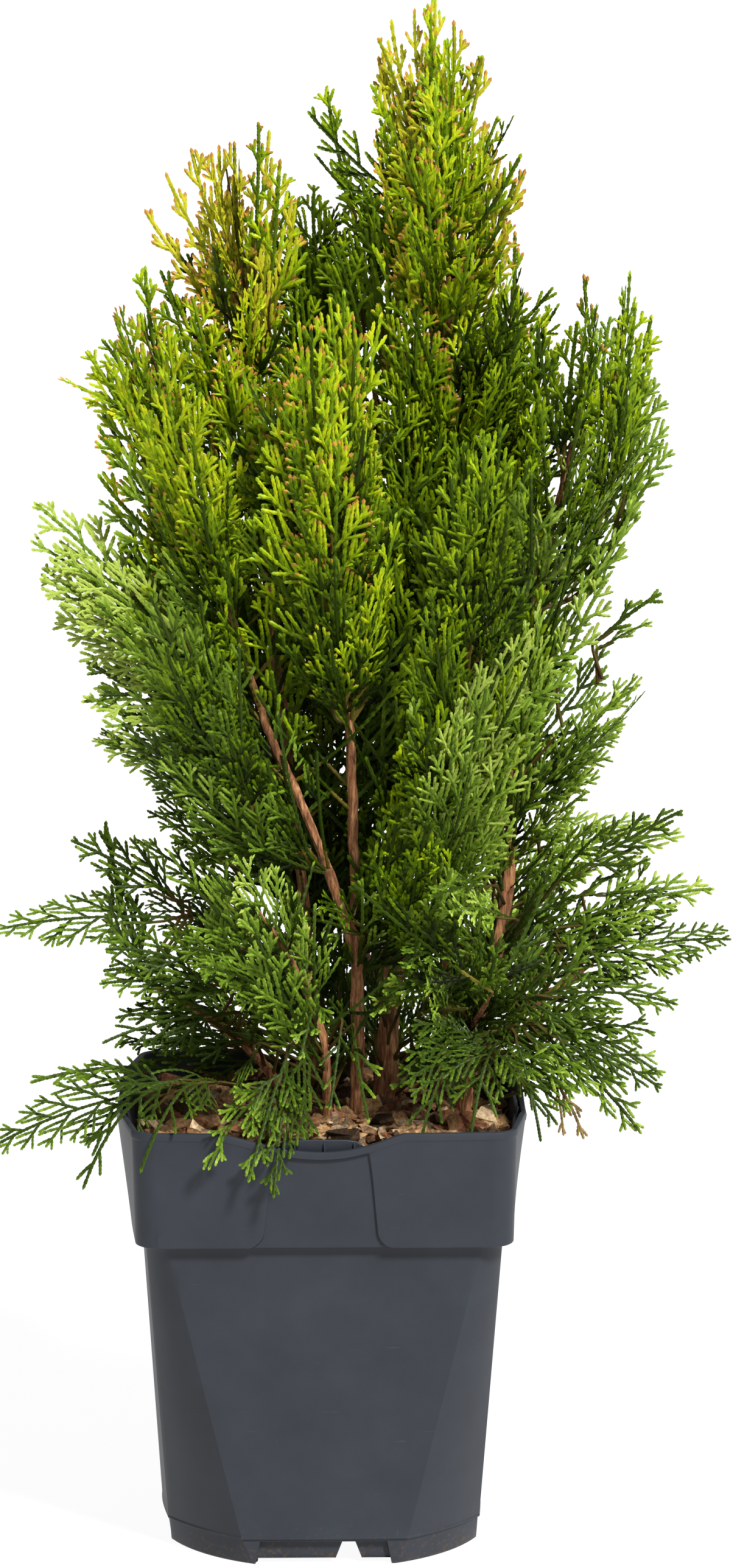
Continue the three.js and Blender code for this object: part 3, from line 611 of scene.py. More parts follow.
def flaking_bark():
    """Thin conifer bark: red-brown strips with grey-tan edges, rough and without gloss."""
    drawn_out = {"Scale": (1, 1, 0.16)}
    stops = [(0.32, "#34200f"), (0.5, "#8d5a34"), (0.72, "#c69666")]
    gloss = {"Roughness": 0.85}
    return streaked_bark("flaking_bark", gloss, drawn_out, 1.4, 5, 0.65, stops, (0.9, 0.0008))


bark = flaking_bark()
chance = np.random.default_rng(1474)
BARK_SIDES = 12
BARK_STEP = 2.6  # mm between rings
WANDER = 0.9  # mm that a limb strays from its line
FLARE = 26  # mm over which a stem widens at its foot
TAPER = 18  # mm over which a limb runs out into its last shoot

stem_lines = {}
for name, (route, foot, tip) in {**STEMS, **BOUGHS}.items():
    line = smooth_line(route, BARK_STEP)
    share = np.linspace(0, 1, len(line))
    radii = foot + (tip - foot) * share**0.85
    radii = radii * np.interp(np.arange(len(line))[::-1] * BARK_STEP, [0, TAPER], [0.3, 1])
    if name in STEMS:
        rise = line[:, 2] - route[0][2]
        radii = radii * (1 + 0.3 * np.exp(-4 * rise / FLARE))
    wander = chance.normal(0, 1, line.shape)
    for axis in range(3):
        wander[:, axis] = np.convolve(wander[:, axis], np.ones(7) / 7, mode="same")
    line = line + wander * WANDER
    phase = chance.uniform(0, 6.28, 4)
    strips = chance.normal(0, 1, (len(line), BARK_SIDES))
    for _ in range(3):
        strips[1:-1] = (strips[:-2] + 2 * strips[1:-1] + strips[2:]) / 4

    def bark_relief(turn, along, strips=strips, phase=phase):
        ridges = 0.08 * np.sin(3 * turn + phase[0] + along * 0.02)
        knots = 0.06 * np.sin(2 * turn + phase[1] + along * 0.11)
        return ridges + knots + 0.11 * strips

    points, faces = tube(line, radii, BARK_SIDES, bark_relief)
    limb = add_piece(name + "_bark", points, faces, [bark])
    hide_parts(name)
    stem_lines[name] = line

# ---------- foliage ----------
# Flat, fern-like sprays leave each branch all the way up. Every shoot of a spray is clothed in tiny
# overlapping scale leaves, and new growth at the tips is yellow-green or, high up, orange-brown. Their
# greens also carry painted light and shade: darker deep in the crown and low down, lighter where sunlit.

# lit and shaded copies of the leaves' greens: each ladder's steps paint shade and sunlight on top of the
# leaves' own tints
LEAF_COLOURS = {
    "leaf_deep_shade": "#0f1502",
    "leaf_shade": "#1b2703",
    "leaf_dark": "#2c3d05",
    "leaf_mid": "#455b07",
    "leaf_green": "#5b7409",
    "leaf_fresh_sunlit": "#748c0a",
    "leaf_bright": "#8fa50d",
    "leaf_yellow_green": "#a2b412",
    "leaf_lime": "#b3bb19",
    "leaf_olive_shade": "#2a2d05",
    "leaf_olive_dark": "#464b08",
    "leaf_olive": "#666b0d",
    "leaf_olive_mid": "#858812",
    "leaf_olive_light": "#a3a31a",
    "leaf_olive_pale": "#b3ad28",
    "leaf_cool_shade": "#1b2507",
    "leaf_cool_dark": "#2f400e",
    "leaf_cool_mid": "#455b14",
    "leaf_cool_green": "#5d771e",
    "leaf_cool_fresh_sunlit": "#78922f",
    "leaf_cool_pale": "#99ac48",
    "tip_pale": "#8fab24",
    "tip_yellow": "#b4b625",
    "tip_orange": "#b48438",
    "young_twig": "#6a5f24",
    "dry_scale": "#8a7446",
}
LEAF_NAMES = list(LEAF_COLOURS)
# the ladders of greens from deep shade to full sun, by their places in the list above
WARM_GREENS = np.array([0, 1, 2, 3, 4, 5, 6, 7, 8])
OLIVE_GREENS = np.array([0, 1, 9, 10, 11, 12, 13, 14])
COOL_GREENS = np.array([0, 15, 16, 17, 18, 19, 20])


def scale_leaf(name, colour):
    """Waxy conifer scales: one plain green with a soft gloss, so that each fold catches the light."""
    wax = {"Roughness": 0.45, "Specular IOR Level": 0.08, "Base Color": linear(colour)}
    return new_material(name, wax)[0]


leaf_materials = [scale_leaf(name, colour) for name, colour in LEAF_COLOURS.items()]

# by order of shoot (the spray's axis, its side shoots, their branchlets): mm between scale leaves,
# a leaf's length and its width
SCALES = [(2.25, 3.9, 1.95), (2.0, 3.5, 1.92), (1.95, 3.4, 1.85)]
CUP = 0.004  # mm that a spray droops on either side for each mm2 off its middle
LEAF, TIP, STALK = range(3)
UPRIGHT, FAN, SLENDER, SPIKE, AIRY = range(5)
# mm between forks, their angle in degrees, side shoots' length as a share of the spray's, scale of the
# leaves, mm between branchlets, and the longest branchlet in mm
HABITS = {
    UPRIGHT: (7.2, 36, 0.3, 0.95, 4.8, 17),
    FAN: (7.8, 46, 0.38, 0.95, 4.8, 17.5),
    SLENDER: (6.8, 42, 0.36, 0.8, 5.6, 15),
    SPIKE: (8.5, 36, 0.13, 0.9, 6.0, 9),
    AIRY: (9.6, 44, 0.24, 1.05, 7.2, 10.5),
}
SHORTEST_SHOOT = 3.0  # mm
SHORTEST_REST = 2.4  # mm of a shoot that must be left beyond a fork


def spray_pattern(length, habit, rng):
    """A flat spray along +X. For each scale leaf it gives the six corners, the kind, how light it is painted
    (darker towards the spray's base, as painted shade deep in the crown), the number of its shoot, and that
    of the side shoot that carries it."""
    leaves = []
    kinds = []
    levels = []
    shoots = []
    owners = []
    fork_step, fork_angle, width, leaf_scale, finger_step, finger = HABITS[habit]

    def shoot(at, heading, rise, reach, order, bend, hand, owner):
        """Lays scale leaves along a shoot, each pair folded the other way, and forks shoots off it."""
        number = max(shoots, default=-1) + 1
        owner = number if order == 1 else owner
        pitch, long, wide = (size * leaf_scale for size in SCALES[order])
        count = max(2, round(reach / pitch))
        step = reach / count
        if order == 0:
            next_fork = [0.1 * reach + 4, 0.1 * reach + 8]
        else:
            next_fork = rng.uniform([3.4, 4.6], [4.8, 7.0])
        shade = rng.normal(0, 0.16)
        for i in range(count):
            share = (i + 0.5) / count
            angle = heading + bend * share
            flat = math.cos(rise)
            ahead = np.array([math.cos(angle) * flat, math.sin(angle) * flat, math.sin(rise)])
            across = np.array([-math.sin(angle), math.cos(angle), 0.0])
            up = np.array([0, 0, 1.0])
            last = i == count - 1
            turn = 0 if last else (1 if i % 2 else -1)
            size = long * (0.85 if last else rng.uniform(0.94, 1.06))
            half = wide / 2 * (0.92 if last else rng.uniform(0.95, 1.08))
            corners = [at, at + ahead * size]
            for way in (1, -1):
                drop = (0.46 + 0.2 * turn * way) * half
                corners.append(at + ahead * size * 0.62 + across * way * half - up * drop)
                corners.append(at + ahead * size * 0.2 + across * way * half * 0.82 - up * drop)
            corners[1] = corners[1] + up * (0 if last else 0.1)
            leaves.append(corners)
            shoots.append(number)
            owners.append(owner)
            kinds.append(TIP if last else STALK if order == 0 and share < 0.2 else LEAF)
            outward = 0.5 * share if order > 0 else 0
            # painted shade: leaves near the spray's base and on its main axis sit lower on the ladder, so
            # they come out darker
            levels.append(0.85 * at[0] / length + 0.26 * order + outward + shade + 0.07 * turn)
            run = i * step
            rest = reach - run
            for k, lot in enumerate((1, -1)):
                if order > 1 or run < next_fork[k]:
                    continue
                if order == 0:
                    along = run / reach
                    next_fork[k] += 2 * fork_step * rng.uniform(0.85, 1.15)
                    profile = min(1.0, 0.55 + 2.2 * along) * (1 - along) ** 0.62
                    child = max(min(9.0, 0.9 * rest), width * length * profile) * rng.uniform(0.82, 1.12)
                    spread = math.radians(fork_angle * rng.uniform(0.9, 1.06) - 10 * along)
                    way = lot
                elif lot > 0:
                    next_fork[k] += finger_step * rng.uniform(0.88, 1.12)
                    child = min(finger, 0.72 * rest + 4.0) * rng.uniform(0.8, 1.1)
                    spread = math.radians(rng.uniform(31, 41))
                    way = hand
                else:
                    next_fork[k] += finger_step * rng.uniform(1.05, 1.5)
                    child = min(0.68 * finger, 0.42 * rest + 2.6) * rng.uniform(0.8, 1.1)
                    spread = math.radians(rng.uniform(31, 41))
                    way = -hand
                if child > SHORTEST_SHOOT and rest > SHORTEST_REST:
                    back = -way * spread * (0.3 if order == 0 else 0.25)
                    lifted = rise + rng.normal(0, 0.1)
                    shoot(at, angle + way * spread, lifted, child, order + 1, back, -way, owner)
            at = at + ahead * step

    shoot(np.zeros(3), 0.0, 0.0, length, 0, rng.normal(0, 0.1), 0, 0)
    return np.array(leaves), np.array(kinds), np.array(levels), np.array(shoots), np.array(owners)


PATTERN_LENGTHS = [34, 44, 56, 70, 86, 104, 124, 146]
PATTERNS_EACH = 6


def spray_patterns(length, habit):
    """Variants of a spray of one length and habit."""
    seeds = [50 * length + i for i in range(PATTERNS_EACH)]
    return [spray_pattern(length, habit, np.random.default_rng(seed)) for seed in seeds]


patterns = {
    habit: [(length, spray_patterns(length, habit)) for length in PATTERN_LENGTHS] for habit in HABITS
}

# The masses by group. Each row: the branch's start and end, half sizes across it, how sunlit it is,
# how flat it lies (0 all round, 1 in one plane), and the leading sprays' tips as X and Z. The ones
# without a row are made of the single sprays further down.
MASSES = {
    "crown": {
        "crown_top": ((52, 10, 548), (49, 6, 684), 26, 30, 0.93, 0, [
            (50, 686), (40, 681), (29, 676), (60, 676), (71, 660), (24, 660), (74, 632), (78, 616),
            (80, 598), (84, 608), (87, 612), (80, 570)]),
        "top_shoot": None,
        "back_top_plume": ((8, 42, 460), (-2, 30, 604), 15, 22, 0.42, 0, [(-14, 600), (2, 596)]),
        "centre_plume": ((46, 14, 330), (54, 14, 560), 28, 30, 0.54, 0, []),
    },
    "left": {
        "crown_left": ((-28, 20, 522), (-44, 16, 627), 20, 20, 0.96, 0, [
            (-25, 628), (-37, 623), (-48, 618), (-57, 620), (-66, 610), (-75, 594), (-20, 615), (-10, 598)]),
        "left_plume": ((-42, -8, 428), (-84, -12, 563), 27, 30, 0.8, 0, [
            (-77, 570), (-88, 549), (-101, 534), (-99, 500), (-99, 478)]),
        "left_shoot": ((-88, -12, 508), (-116, -16, 523), 4, 4, 0.7, 0.5, [(-115, 522)]),
        "left_shoulder": ((-40, -8, 380), (-124, -14, 458), 15, 25, 0.6, 0.5, [
            (-127, 466), (-128, 450), (-123, 436), (-118, 412), (-106, 385)]),
        "left_mid_spray": ((-30, 0, 336), (-110, -2, 376), 16, 22, 0.36, 0.5, [(-101, 362)]),
    },
    "front": {
        "front_plume": ((4, -28, 384), (8, -42, 562), 30, 24, 0.8, 0, [(8, 562), (24, 552), (-12, 548)]),
        "left_front_spray": ((-24, -24, 316), (-70, -64, 440), 33, 24, 0.4, 0, []),
        "right_front_plume": ((60, -26, 350), (72, -56, 512), 32, 24, 0.46, 0, []),
        "front_centre_spray": ((40, -24, 272), (64, -66, 398), 33, 28, 0.42, 0, []),
    },
    "right": {
        "right_mid_plume": ((82, 6, 440), (84, 4, 582), 13, 26, 0.58, 0, [(98, 546), (106, 534), (84, 584)]),
        "right_plume": ((118, 0, 432), (134, -2, 564), 12, 16, 0.5, 0, [
            (117, 566), (134, 567), (143, 548), (144, 526), (118, 450)]),
        "right_shoot": None,
        "right_shoulder": ((82, -4, 334), (124, -8, 388), 14, 26, 0.42, 0.5, [(142, 386), (134, 366)]),
        "right_mid_spray": ((76, -4, 302), (160, -6, 316), 20, 26, 0.42, 0.6, [(160, 314)]),
    },
    "low_left": {
        "left_low_spray": None, "left_tip_spray": None, "left_edge_spray": None, "left_rim_spray": None,
        "left_droop": None,
        "front_low_spray": ((-8, -42, 256), (-64, -88, 300), 26, 28, 0.4, 0.2, []),
        "front_rim_spray": None,
    },
    "low_right": {
        "right_low_spray": None, "right_rim_spray": None, "right_droop": None, "dry_shoot": None,
        "right_tip_shoot": None,
        "front_right_spray": ((42, -28, 240), (92, -98, 262), 26, 28, 0.34, 0.2, []),
    },
    "back": {
        "back_centre_plume": ((4, 44, 272), (-10, 76, 545), 38, 28, 0.45, 0, []),
        "back_right_plume": ((70, 44, 320), (98, 84, 470), 32, 28, 0.45, 0, []),
        "back_left_plume": ((-22, 34, 292), (-82, 72, 460), 30, 28, 0.42, 0, []),
        "back_left_spray": ((-16, 34, 230), (-78, 112, 280), 32, 34, 0.36, 0.4, []),
        "back_right_spray": ((60, 40, 232), (108, 108, 284), 32, 34, 0.36, 0.4, []),
        "back_rim_spray": ((16, 46, 224), (14, 132, 258), 26, 34, 0.32, 0.4, []),
    },
}


def crown_skin():
    """The masses' outer faces, for finding how near a tip is to them."""
    points = []
    faces = []
    for masses in MASSES.values():
        for name in masses:
            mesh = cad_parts[name].data
            start = len(points)
            points += [vertex.co.copy() for vertex in mesh.vertices]
            faces += [[start + v for v in polygon.vertices] for polygon in mesh.polygons]
    return BVHTree.FromPolygons(points, faces)


crown = crown_skin()
SPRAY_ROOM = 348  # mm2 of a mass's length by its half sizes for each spray
GOLDEN = math.pi * (3 - math.sqrt(5))
PLANT_AXIS = (20, 5)  # mm across and deep
# mm that a spray's shoots may stand out of the masses: inside a mass, on its outline, and on its own
ROOM, OUTLINE_ROOM, LONE_ROOM = 6.0, 13.0, 16.0
STEM_ROOM = 12  # mm off the masses' skin within which a stem's spray should end
SHORTEST_SPRAY = 24  # mm from base to tip; half as much again on a stem
OUTLINE = 1.25  # spread of a mass's sprays over which they make its outline
LEADING = 1.3  # spread that its leading sprays are given
SMALL_MASS = 60  # mm of length up to which a mass has only a short, thin branch
RUST_HEIGHT = 572  # mm above the ground over which the most sunlit sprays turn olive
GOLD_HEIGHT = 470  # and over which many sunlit tips turn orange
SHADE_TOP = 330  # and under which sprays darken towards the pot
DRIED = -0.3  # a spray less sunlit than this has dried up


def arc(start, middle, end, share):
    """Points at shares of the way along a curve that leaves start towards middle and ends at end."""
    share = np.asarray(share)[..., None]
    return (1 - share) ** 2 * start + 2 * share * (1 - share) * middle + share**2 * end


def square_to(ahead, vector):
    """The direction of a vector once its share along ahead is taken out."""
    return unit(vector - ahead * (vector @ ahead))


MULCH_LEVEL = 188
KEPT_OFF = 0.4  # mm that leaves stay off the wall


def in_pot(groups):
    """Which groups of points would stand in the pot's wall or in the mulch."""
    x, y, z = groups[..., 0], groups[..., 1], groups[..., 2]
    bulge_x = np.cos(np.clip(x / 80, -1, 1) * math.pi / 2)
    bulge_y = np.cos(np.clip(y / 80, -1, 1) * math.pi / 2)
    past = [-y - BOW[0] * bulge_x, x - BOW[1] * bulge_y, y - BOW[2] * bulge_x, -x - BOW[3] * bulge_y]
    past = np.max(past, axis=0) - (RIM[0] + KEPT_OFF)
    rim = POT_HEIGHT + 0.5 - rim_dip(x) * (y < -70)
    in_wall = (z < rim) & (past < KEPT_OFF) & (past > -BAND_WALL - 2 * KEPT_OFF)
    in_mulch = (z < MULCH_LEVEL) & (past <= KEPT_OFF)
    return (in_wall | in_mulch).any(axis=-1)


BARE_BOUGH = ([0, -13, -25, -33], [312, 345, 370, 392])  # X and Z along the left bough's bare length
FAR = 999


def hides_bough(spots):
    """Which spots lie in front of the bare length of the left bough."""
    across = np.interp(spots[:, 2], BARE_BOUGH[1], BARE_BOUGH[0], left=FAR, right=FAR)
    return (np.abs(spots[:, 0] - across) < 4.5) & (spots[:, 1] < -10)


def spray_colours(kinds, levels, shoots, tip, sun, room, rng):
    """Each leaf's material number. A spray's place and light choose its ladder of greens and the step it
    starts from; its leaves run up the ladder towards their tips, with painted shade at their bases and
    on low sprays near the pot."""
    warm = rng.random() < 1.45 - abs(tip[0] - 10) / 75 + (tip[2] - 420) / 200 + (sun - 0.5) / 0.6
    rusty = rng.random() < (sun - 0.78) / 0.2 and tip[2] > RUST_HEIGHT
    greens = OLIVE_GREENS if rusty else WARM_GREENS if warm else COOL_GREENS
    # painted shade: sprays low down near the pot, the front ones most, start lower on the ladder
    low_down = np.clip((SHADE_TOP - tip[2]) / 90, 0, 1)
    level = sun * 6.3 if warm or rusty else 1.2 + sun * 5.4
    level += rng.normal(0, 0.8) - (1.3 if tip[1] < -30 else 0.5) * low_down
    range_out = 3.8 * (levels - 1.08) if warm or rusty else 2.7 * (levels - 0.94)
    lowest = 0 if room < OUTLINE_ROOM else 2 if tip[2] < 440 else 3  # nothing shades one that stands clear
    lowest = np.where(shoots == 0, max(2, lowest), lowest)
    steps = np.clip(np.round(level + range_out), lowest, len(greens) - 1).astype(int)
    odds = [0.1, 0.3, 0.6] if rusty else [0.35, 0.25, 0.4] if tip[2] > GOLD_HEIGHT else [0.6, 0.38, 0.02]
    tip_name = rng.choice(["tip_pale", "tip_yellow", "tip_orange"], p=odds)
    young_twig, dry_scale = LEAF_NAMES.index("young_twig"), LEAF_NAMES.index("dry_scale")
    tip_colour = greens[min(int(level) + 2, len(greens) - 1)]
    if warm and sun > 0.62:
        tip_colour = LEAF_NAMES.index(tip_name)
    colours = np.where(kinds == TIP, tip_colour, greens[steps])
    colours = np.where(kinds == STALK, young_twig if warm else greens[2], colours)
    return colours if sun > DRIED else np.where(kinds == STALK, young_twig, dry_scale)


def lay_spray(store, habit, base, middle, tip, normal, sun, rng, room=ROOM):
    """Lays one spray along an arc, its flat side square to normal, and files its leaves in store.

    Shoots that would end more than room outside the crown's masses are left off."""
    reach = np.linalg.norm(middle - base) + np.linalg.norm(tip - middle)
    length, variants = min(patterns[habit], key=lambda row: abs(row[0] - reach))
    leaves, kinds, levels, shoots, owners = variants[rng.integers(len(variants))]
    flat = leaves.reshape(-1, 3) * (reach / length)
    if rng.random() < 0.5:
        flat = flat * [1, -1, 1]
    share = flat[:, 0] / reach
    place = arc(base, middle, tip, share)
    ahead = unit(2 * (1 - share)[:, None] * (middle - base) + 2 * share[:, None] * (tip - middle))
    across = unit(np.cross(normal, ahead))
    out = np.cross(ahead, across)
    cup = -CUP * flat[:, 1] ** 2
    place = (place + across * flat[:, 1:2] + out * (flat[:, 2:3] + cup[:, None])).reshape(-1, 6, 3)
    keep = np.ones(len(place), bool)
    # a branchlet that ends outside the masses is left off, and a side shoot that ends well outside them
    for end in np.flatnonzero((kinds == TIP) & (shoots > 0)):
        spot = Vector(place[end, 1] * 0.001)
        nearest, slope, _, gap = crown.find_nearest(spot)
        if gap * 1000 > room and (spot - nearest).dot(slope) > 0:
            if owners[end] != shoots[end]:
                keep[shoots == shoots[end]] = False
            elif gap * 1000 > 1.6 * room:
                keep[owners == owners[end]] = False
    # so are shoots in front of the bare bough, and those that run into the pot or the mulch
    for hit in np.flatnonzero(hides_bough(place[:, 1]) & (shoots > 0)):
        keep[shoots == shoots[hit]] = False
    for hit in np.flatnonzero(in_pot(place)):
        keep[hit] = False
        if shoots[hit] > 0:
            keep[(owners if owners[hit] == shoots[hit] else shoots) == shoots[hit]] = False
    colours = spray_colours(kinds, levels, shoots, tip, sun, room, rng)
    store["leaves"].append(place[keep])
    store["colours"].append(colours[keep])


def facing(tip, ahead, spread, rng):
    """Which way a spray's flat side looks: mostly out of the plant, more to the front and back."""
    depth = (tip[1] - PLANT_AXIS[1]) / 16 + rng.normal(0, 0.7)
    out = np.array([(tip[0] - PLANT_AXIS[0]) / 110, depth, 0.3])
    out = unit(unit(out) + rng.normal(0, spread, 3))
    return square_to(ahead, out)


limb_points = dict(stem_lines)


def branch_route(name, start, end):
    """A mass's own branch: it leaves the nearest limb, a little lower down, and runs up the mass."""
    best = None
    for line in limb_points.values():
        gap = np.linalg.norm(line - start, axis=1) + 1.6 * np.maximum(0, line[:, 2] - start[2] + 14)
        i = int(np.argmin(gap))
        if best is None or gap[i] < best[0]:
            best = (gap[i], line[i])
    joint = best[1]
    line = smooth_line([joint, start, (start + end) / 2, end], 3)
    limb_points[name] = line[len(line) // 3 :]
    return line


def clothe_mass(store, name, row, rng):
    """Grows a mass's branch and lays sprays round it that fill the mass, and its leading sprays."""
    start, end, wide, deep, sun, flatness, leads = row
    start, end = np.array(start, float), np.array(end, float)
    along = unit(end - start)
    length = np.linalg.norm(end - start)
    route = branch_route(name, start, end)
    places = np.concatenate([[0], np.cumsum(np.linalg.norm(np.diff(route, axis=0), axis=1))])
    before = places[-1] - length
    first = unit(np.cross([0.0, 1.0, 0.0], along))
    second = np.cross(along, first)
    half = (wide, deep)
    plane = unit(np.array([0.0, -0.8, 0.6]) + rng.normal(0, 0.1, 3))
    if flatness:
        plane = square_to(along, plane)
        first = np.cross(along, plane)
        second = plane * (1 - flatness) * 0.5
        half = (max(wide, deep * 0.8), deep)

    def lay(tip, back, spread):
        at = before + (tip - start) @ along
        base = np.array([np.interp(max(at - back, 0.0), places, route[:, axis]) for axis in range(3)])
        reach = np.linalg.norm(tip - base)
        if reach < SHORTEST_SPRAY:
            return
        ahead = unit(tip - base)
        level = np.array([ahead[0], ahead[1], 0])
        if flatness:
            middle = (base + tip) / 2 + np.array([0, 0, 0.09 * reach])
            normal = square_to(ahead, unit(plane + rng.normal(0, 0.3, 3)))
        else:
            middle = (base + tip) / 2 + (unit(level) - [0, 0, 1.0]) * 0.07 * reach
            normal = facing(tip, ahead, 0.35, rng)
            if spread > OUTLINE:
                normal = square_to(ahead, unit(np.array([rng.normal(0.1, 0.3), -1, 0.35])))
        if flatness:
            habit = SLENDER if sun < 0.5 else FAN
        else:
            habit = FAN if rng.random() < 0.5 else UPRIGHT
        if (tip[0] > 55 or tip[2] < 360) and rng.random() < 0.7:
            habit = SLENDER
        if spread > OUTLINE and not flatness:
            habit = AIRY
        room = OUTLINE_ROOM if spread > OUTLINE else ROOM
        glow = sun + 0.32 * (spread - 1.05) + 0.24 * ((tip - start) @ along / length - 0.6)
        lay_spray(store, habit, base, middle, tip, normal, glow, rng, room)

    for x, z in leads:
        tip = np.array([x, start[1] + (end[1] - start[1]) * 0.8 + rng.uniform(-6, 6), z], float)
        off = np.linalg.norm(tip - start - along * ((tip - start) @ along))
        back = max(92.0 if flatness else 64.0, 1.5 * off) if length > SMALL_MASS else 40
        lay(tip, back, LEADING)
    count = int(length * (half[0] + half[1]) / (SPRAY_ROOM * (4.5 if flatness else 1.0))) + 1
    turn = rng.uniform(0, 6.28)
    for i in range(count):
        share = (i + rng.uniform(0.2, 0.8)) / count
        turn += GOLDEN + rng.normal(0, 0.25)
        girth = math.sqrt(max(0.0, 1 - (2 * share - 1) ** 2)) * (1.2 - 0.4 * share)
        spread = rng.uniform(0.55, 1.2)
        tip = start + along * length * share + first * half[0] * girth * spread * math.cos(turn)
        tip = tip + second * half[1] * girth * spread * math.sin(turn)
        lay(tip, rng.uniform(60, 104), spread)
    thickest, thinnest = 1.2 if length > SMALL_MASS else 0.7, 0.4
    girths = np.interp(places, [0, places[-1] * 0.9], [thickest, thinnest])
    keep = places < places[-1] * (0.88 if length > SMALL_MASS and not flatness else 0.6)
    store["twigs"].append((route[keep], girths[keep]))


# Sprays that sit on the stems themselves, by the group they join. Each row: the limb, the heights from
# and to, how many, and how sunlit they are. The sprays of a veil all grow to the front.
VEIL = True
STEM_SPRAYS = {
    "crown": [("leader", 290, 590, 96, 0.62)],
    "left": [("back_left_stem", 320, 550, 28, 0.5), ("left_bough", 330, 440, 24, 0.45)],
    "front": [("front_stem", 330, 470, 24, 0.5), ("front_mid_bough", 285, 350, 15, 0.35)],
    "right": [
        ("right_stem", 250, 440, 25, 0.4), ("right_stem", 290, 510, 20, 0.46, VEIL),
        ("back_right_stem", 260, 480, 18, 0.25),
    ],
    "low_left": [
        ("back_left_stem", 225, 320, 11, 0.2), ("low_left_stem", 205, 254, 8, 0.25),
        ("low_front_stem", 205, 290, 13, 0.4),
    ],
    "low_right": [
        ("right_low_bough", 215, 260, 8, 0.35), ("front_right_bough", 222, 256, 8, 0.35),
        ("right_stem", 200, 260, 8, 0.25), ("leader", 215, 300, 8, 0.2),
    ],
    "back": [("back_left_stem", 260, 420, 14, 0.1), ("back_centre_bough", 236, 256, 6, 0.15)],
}

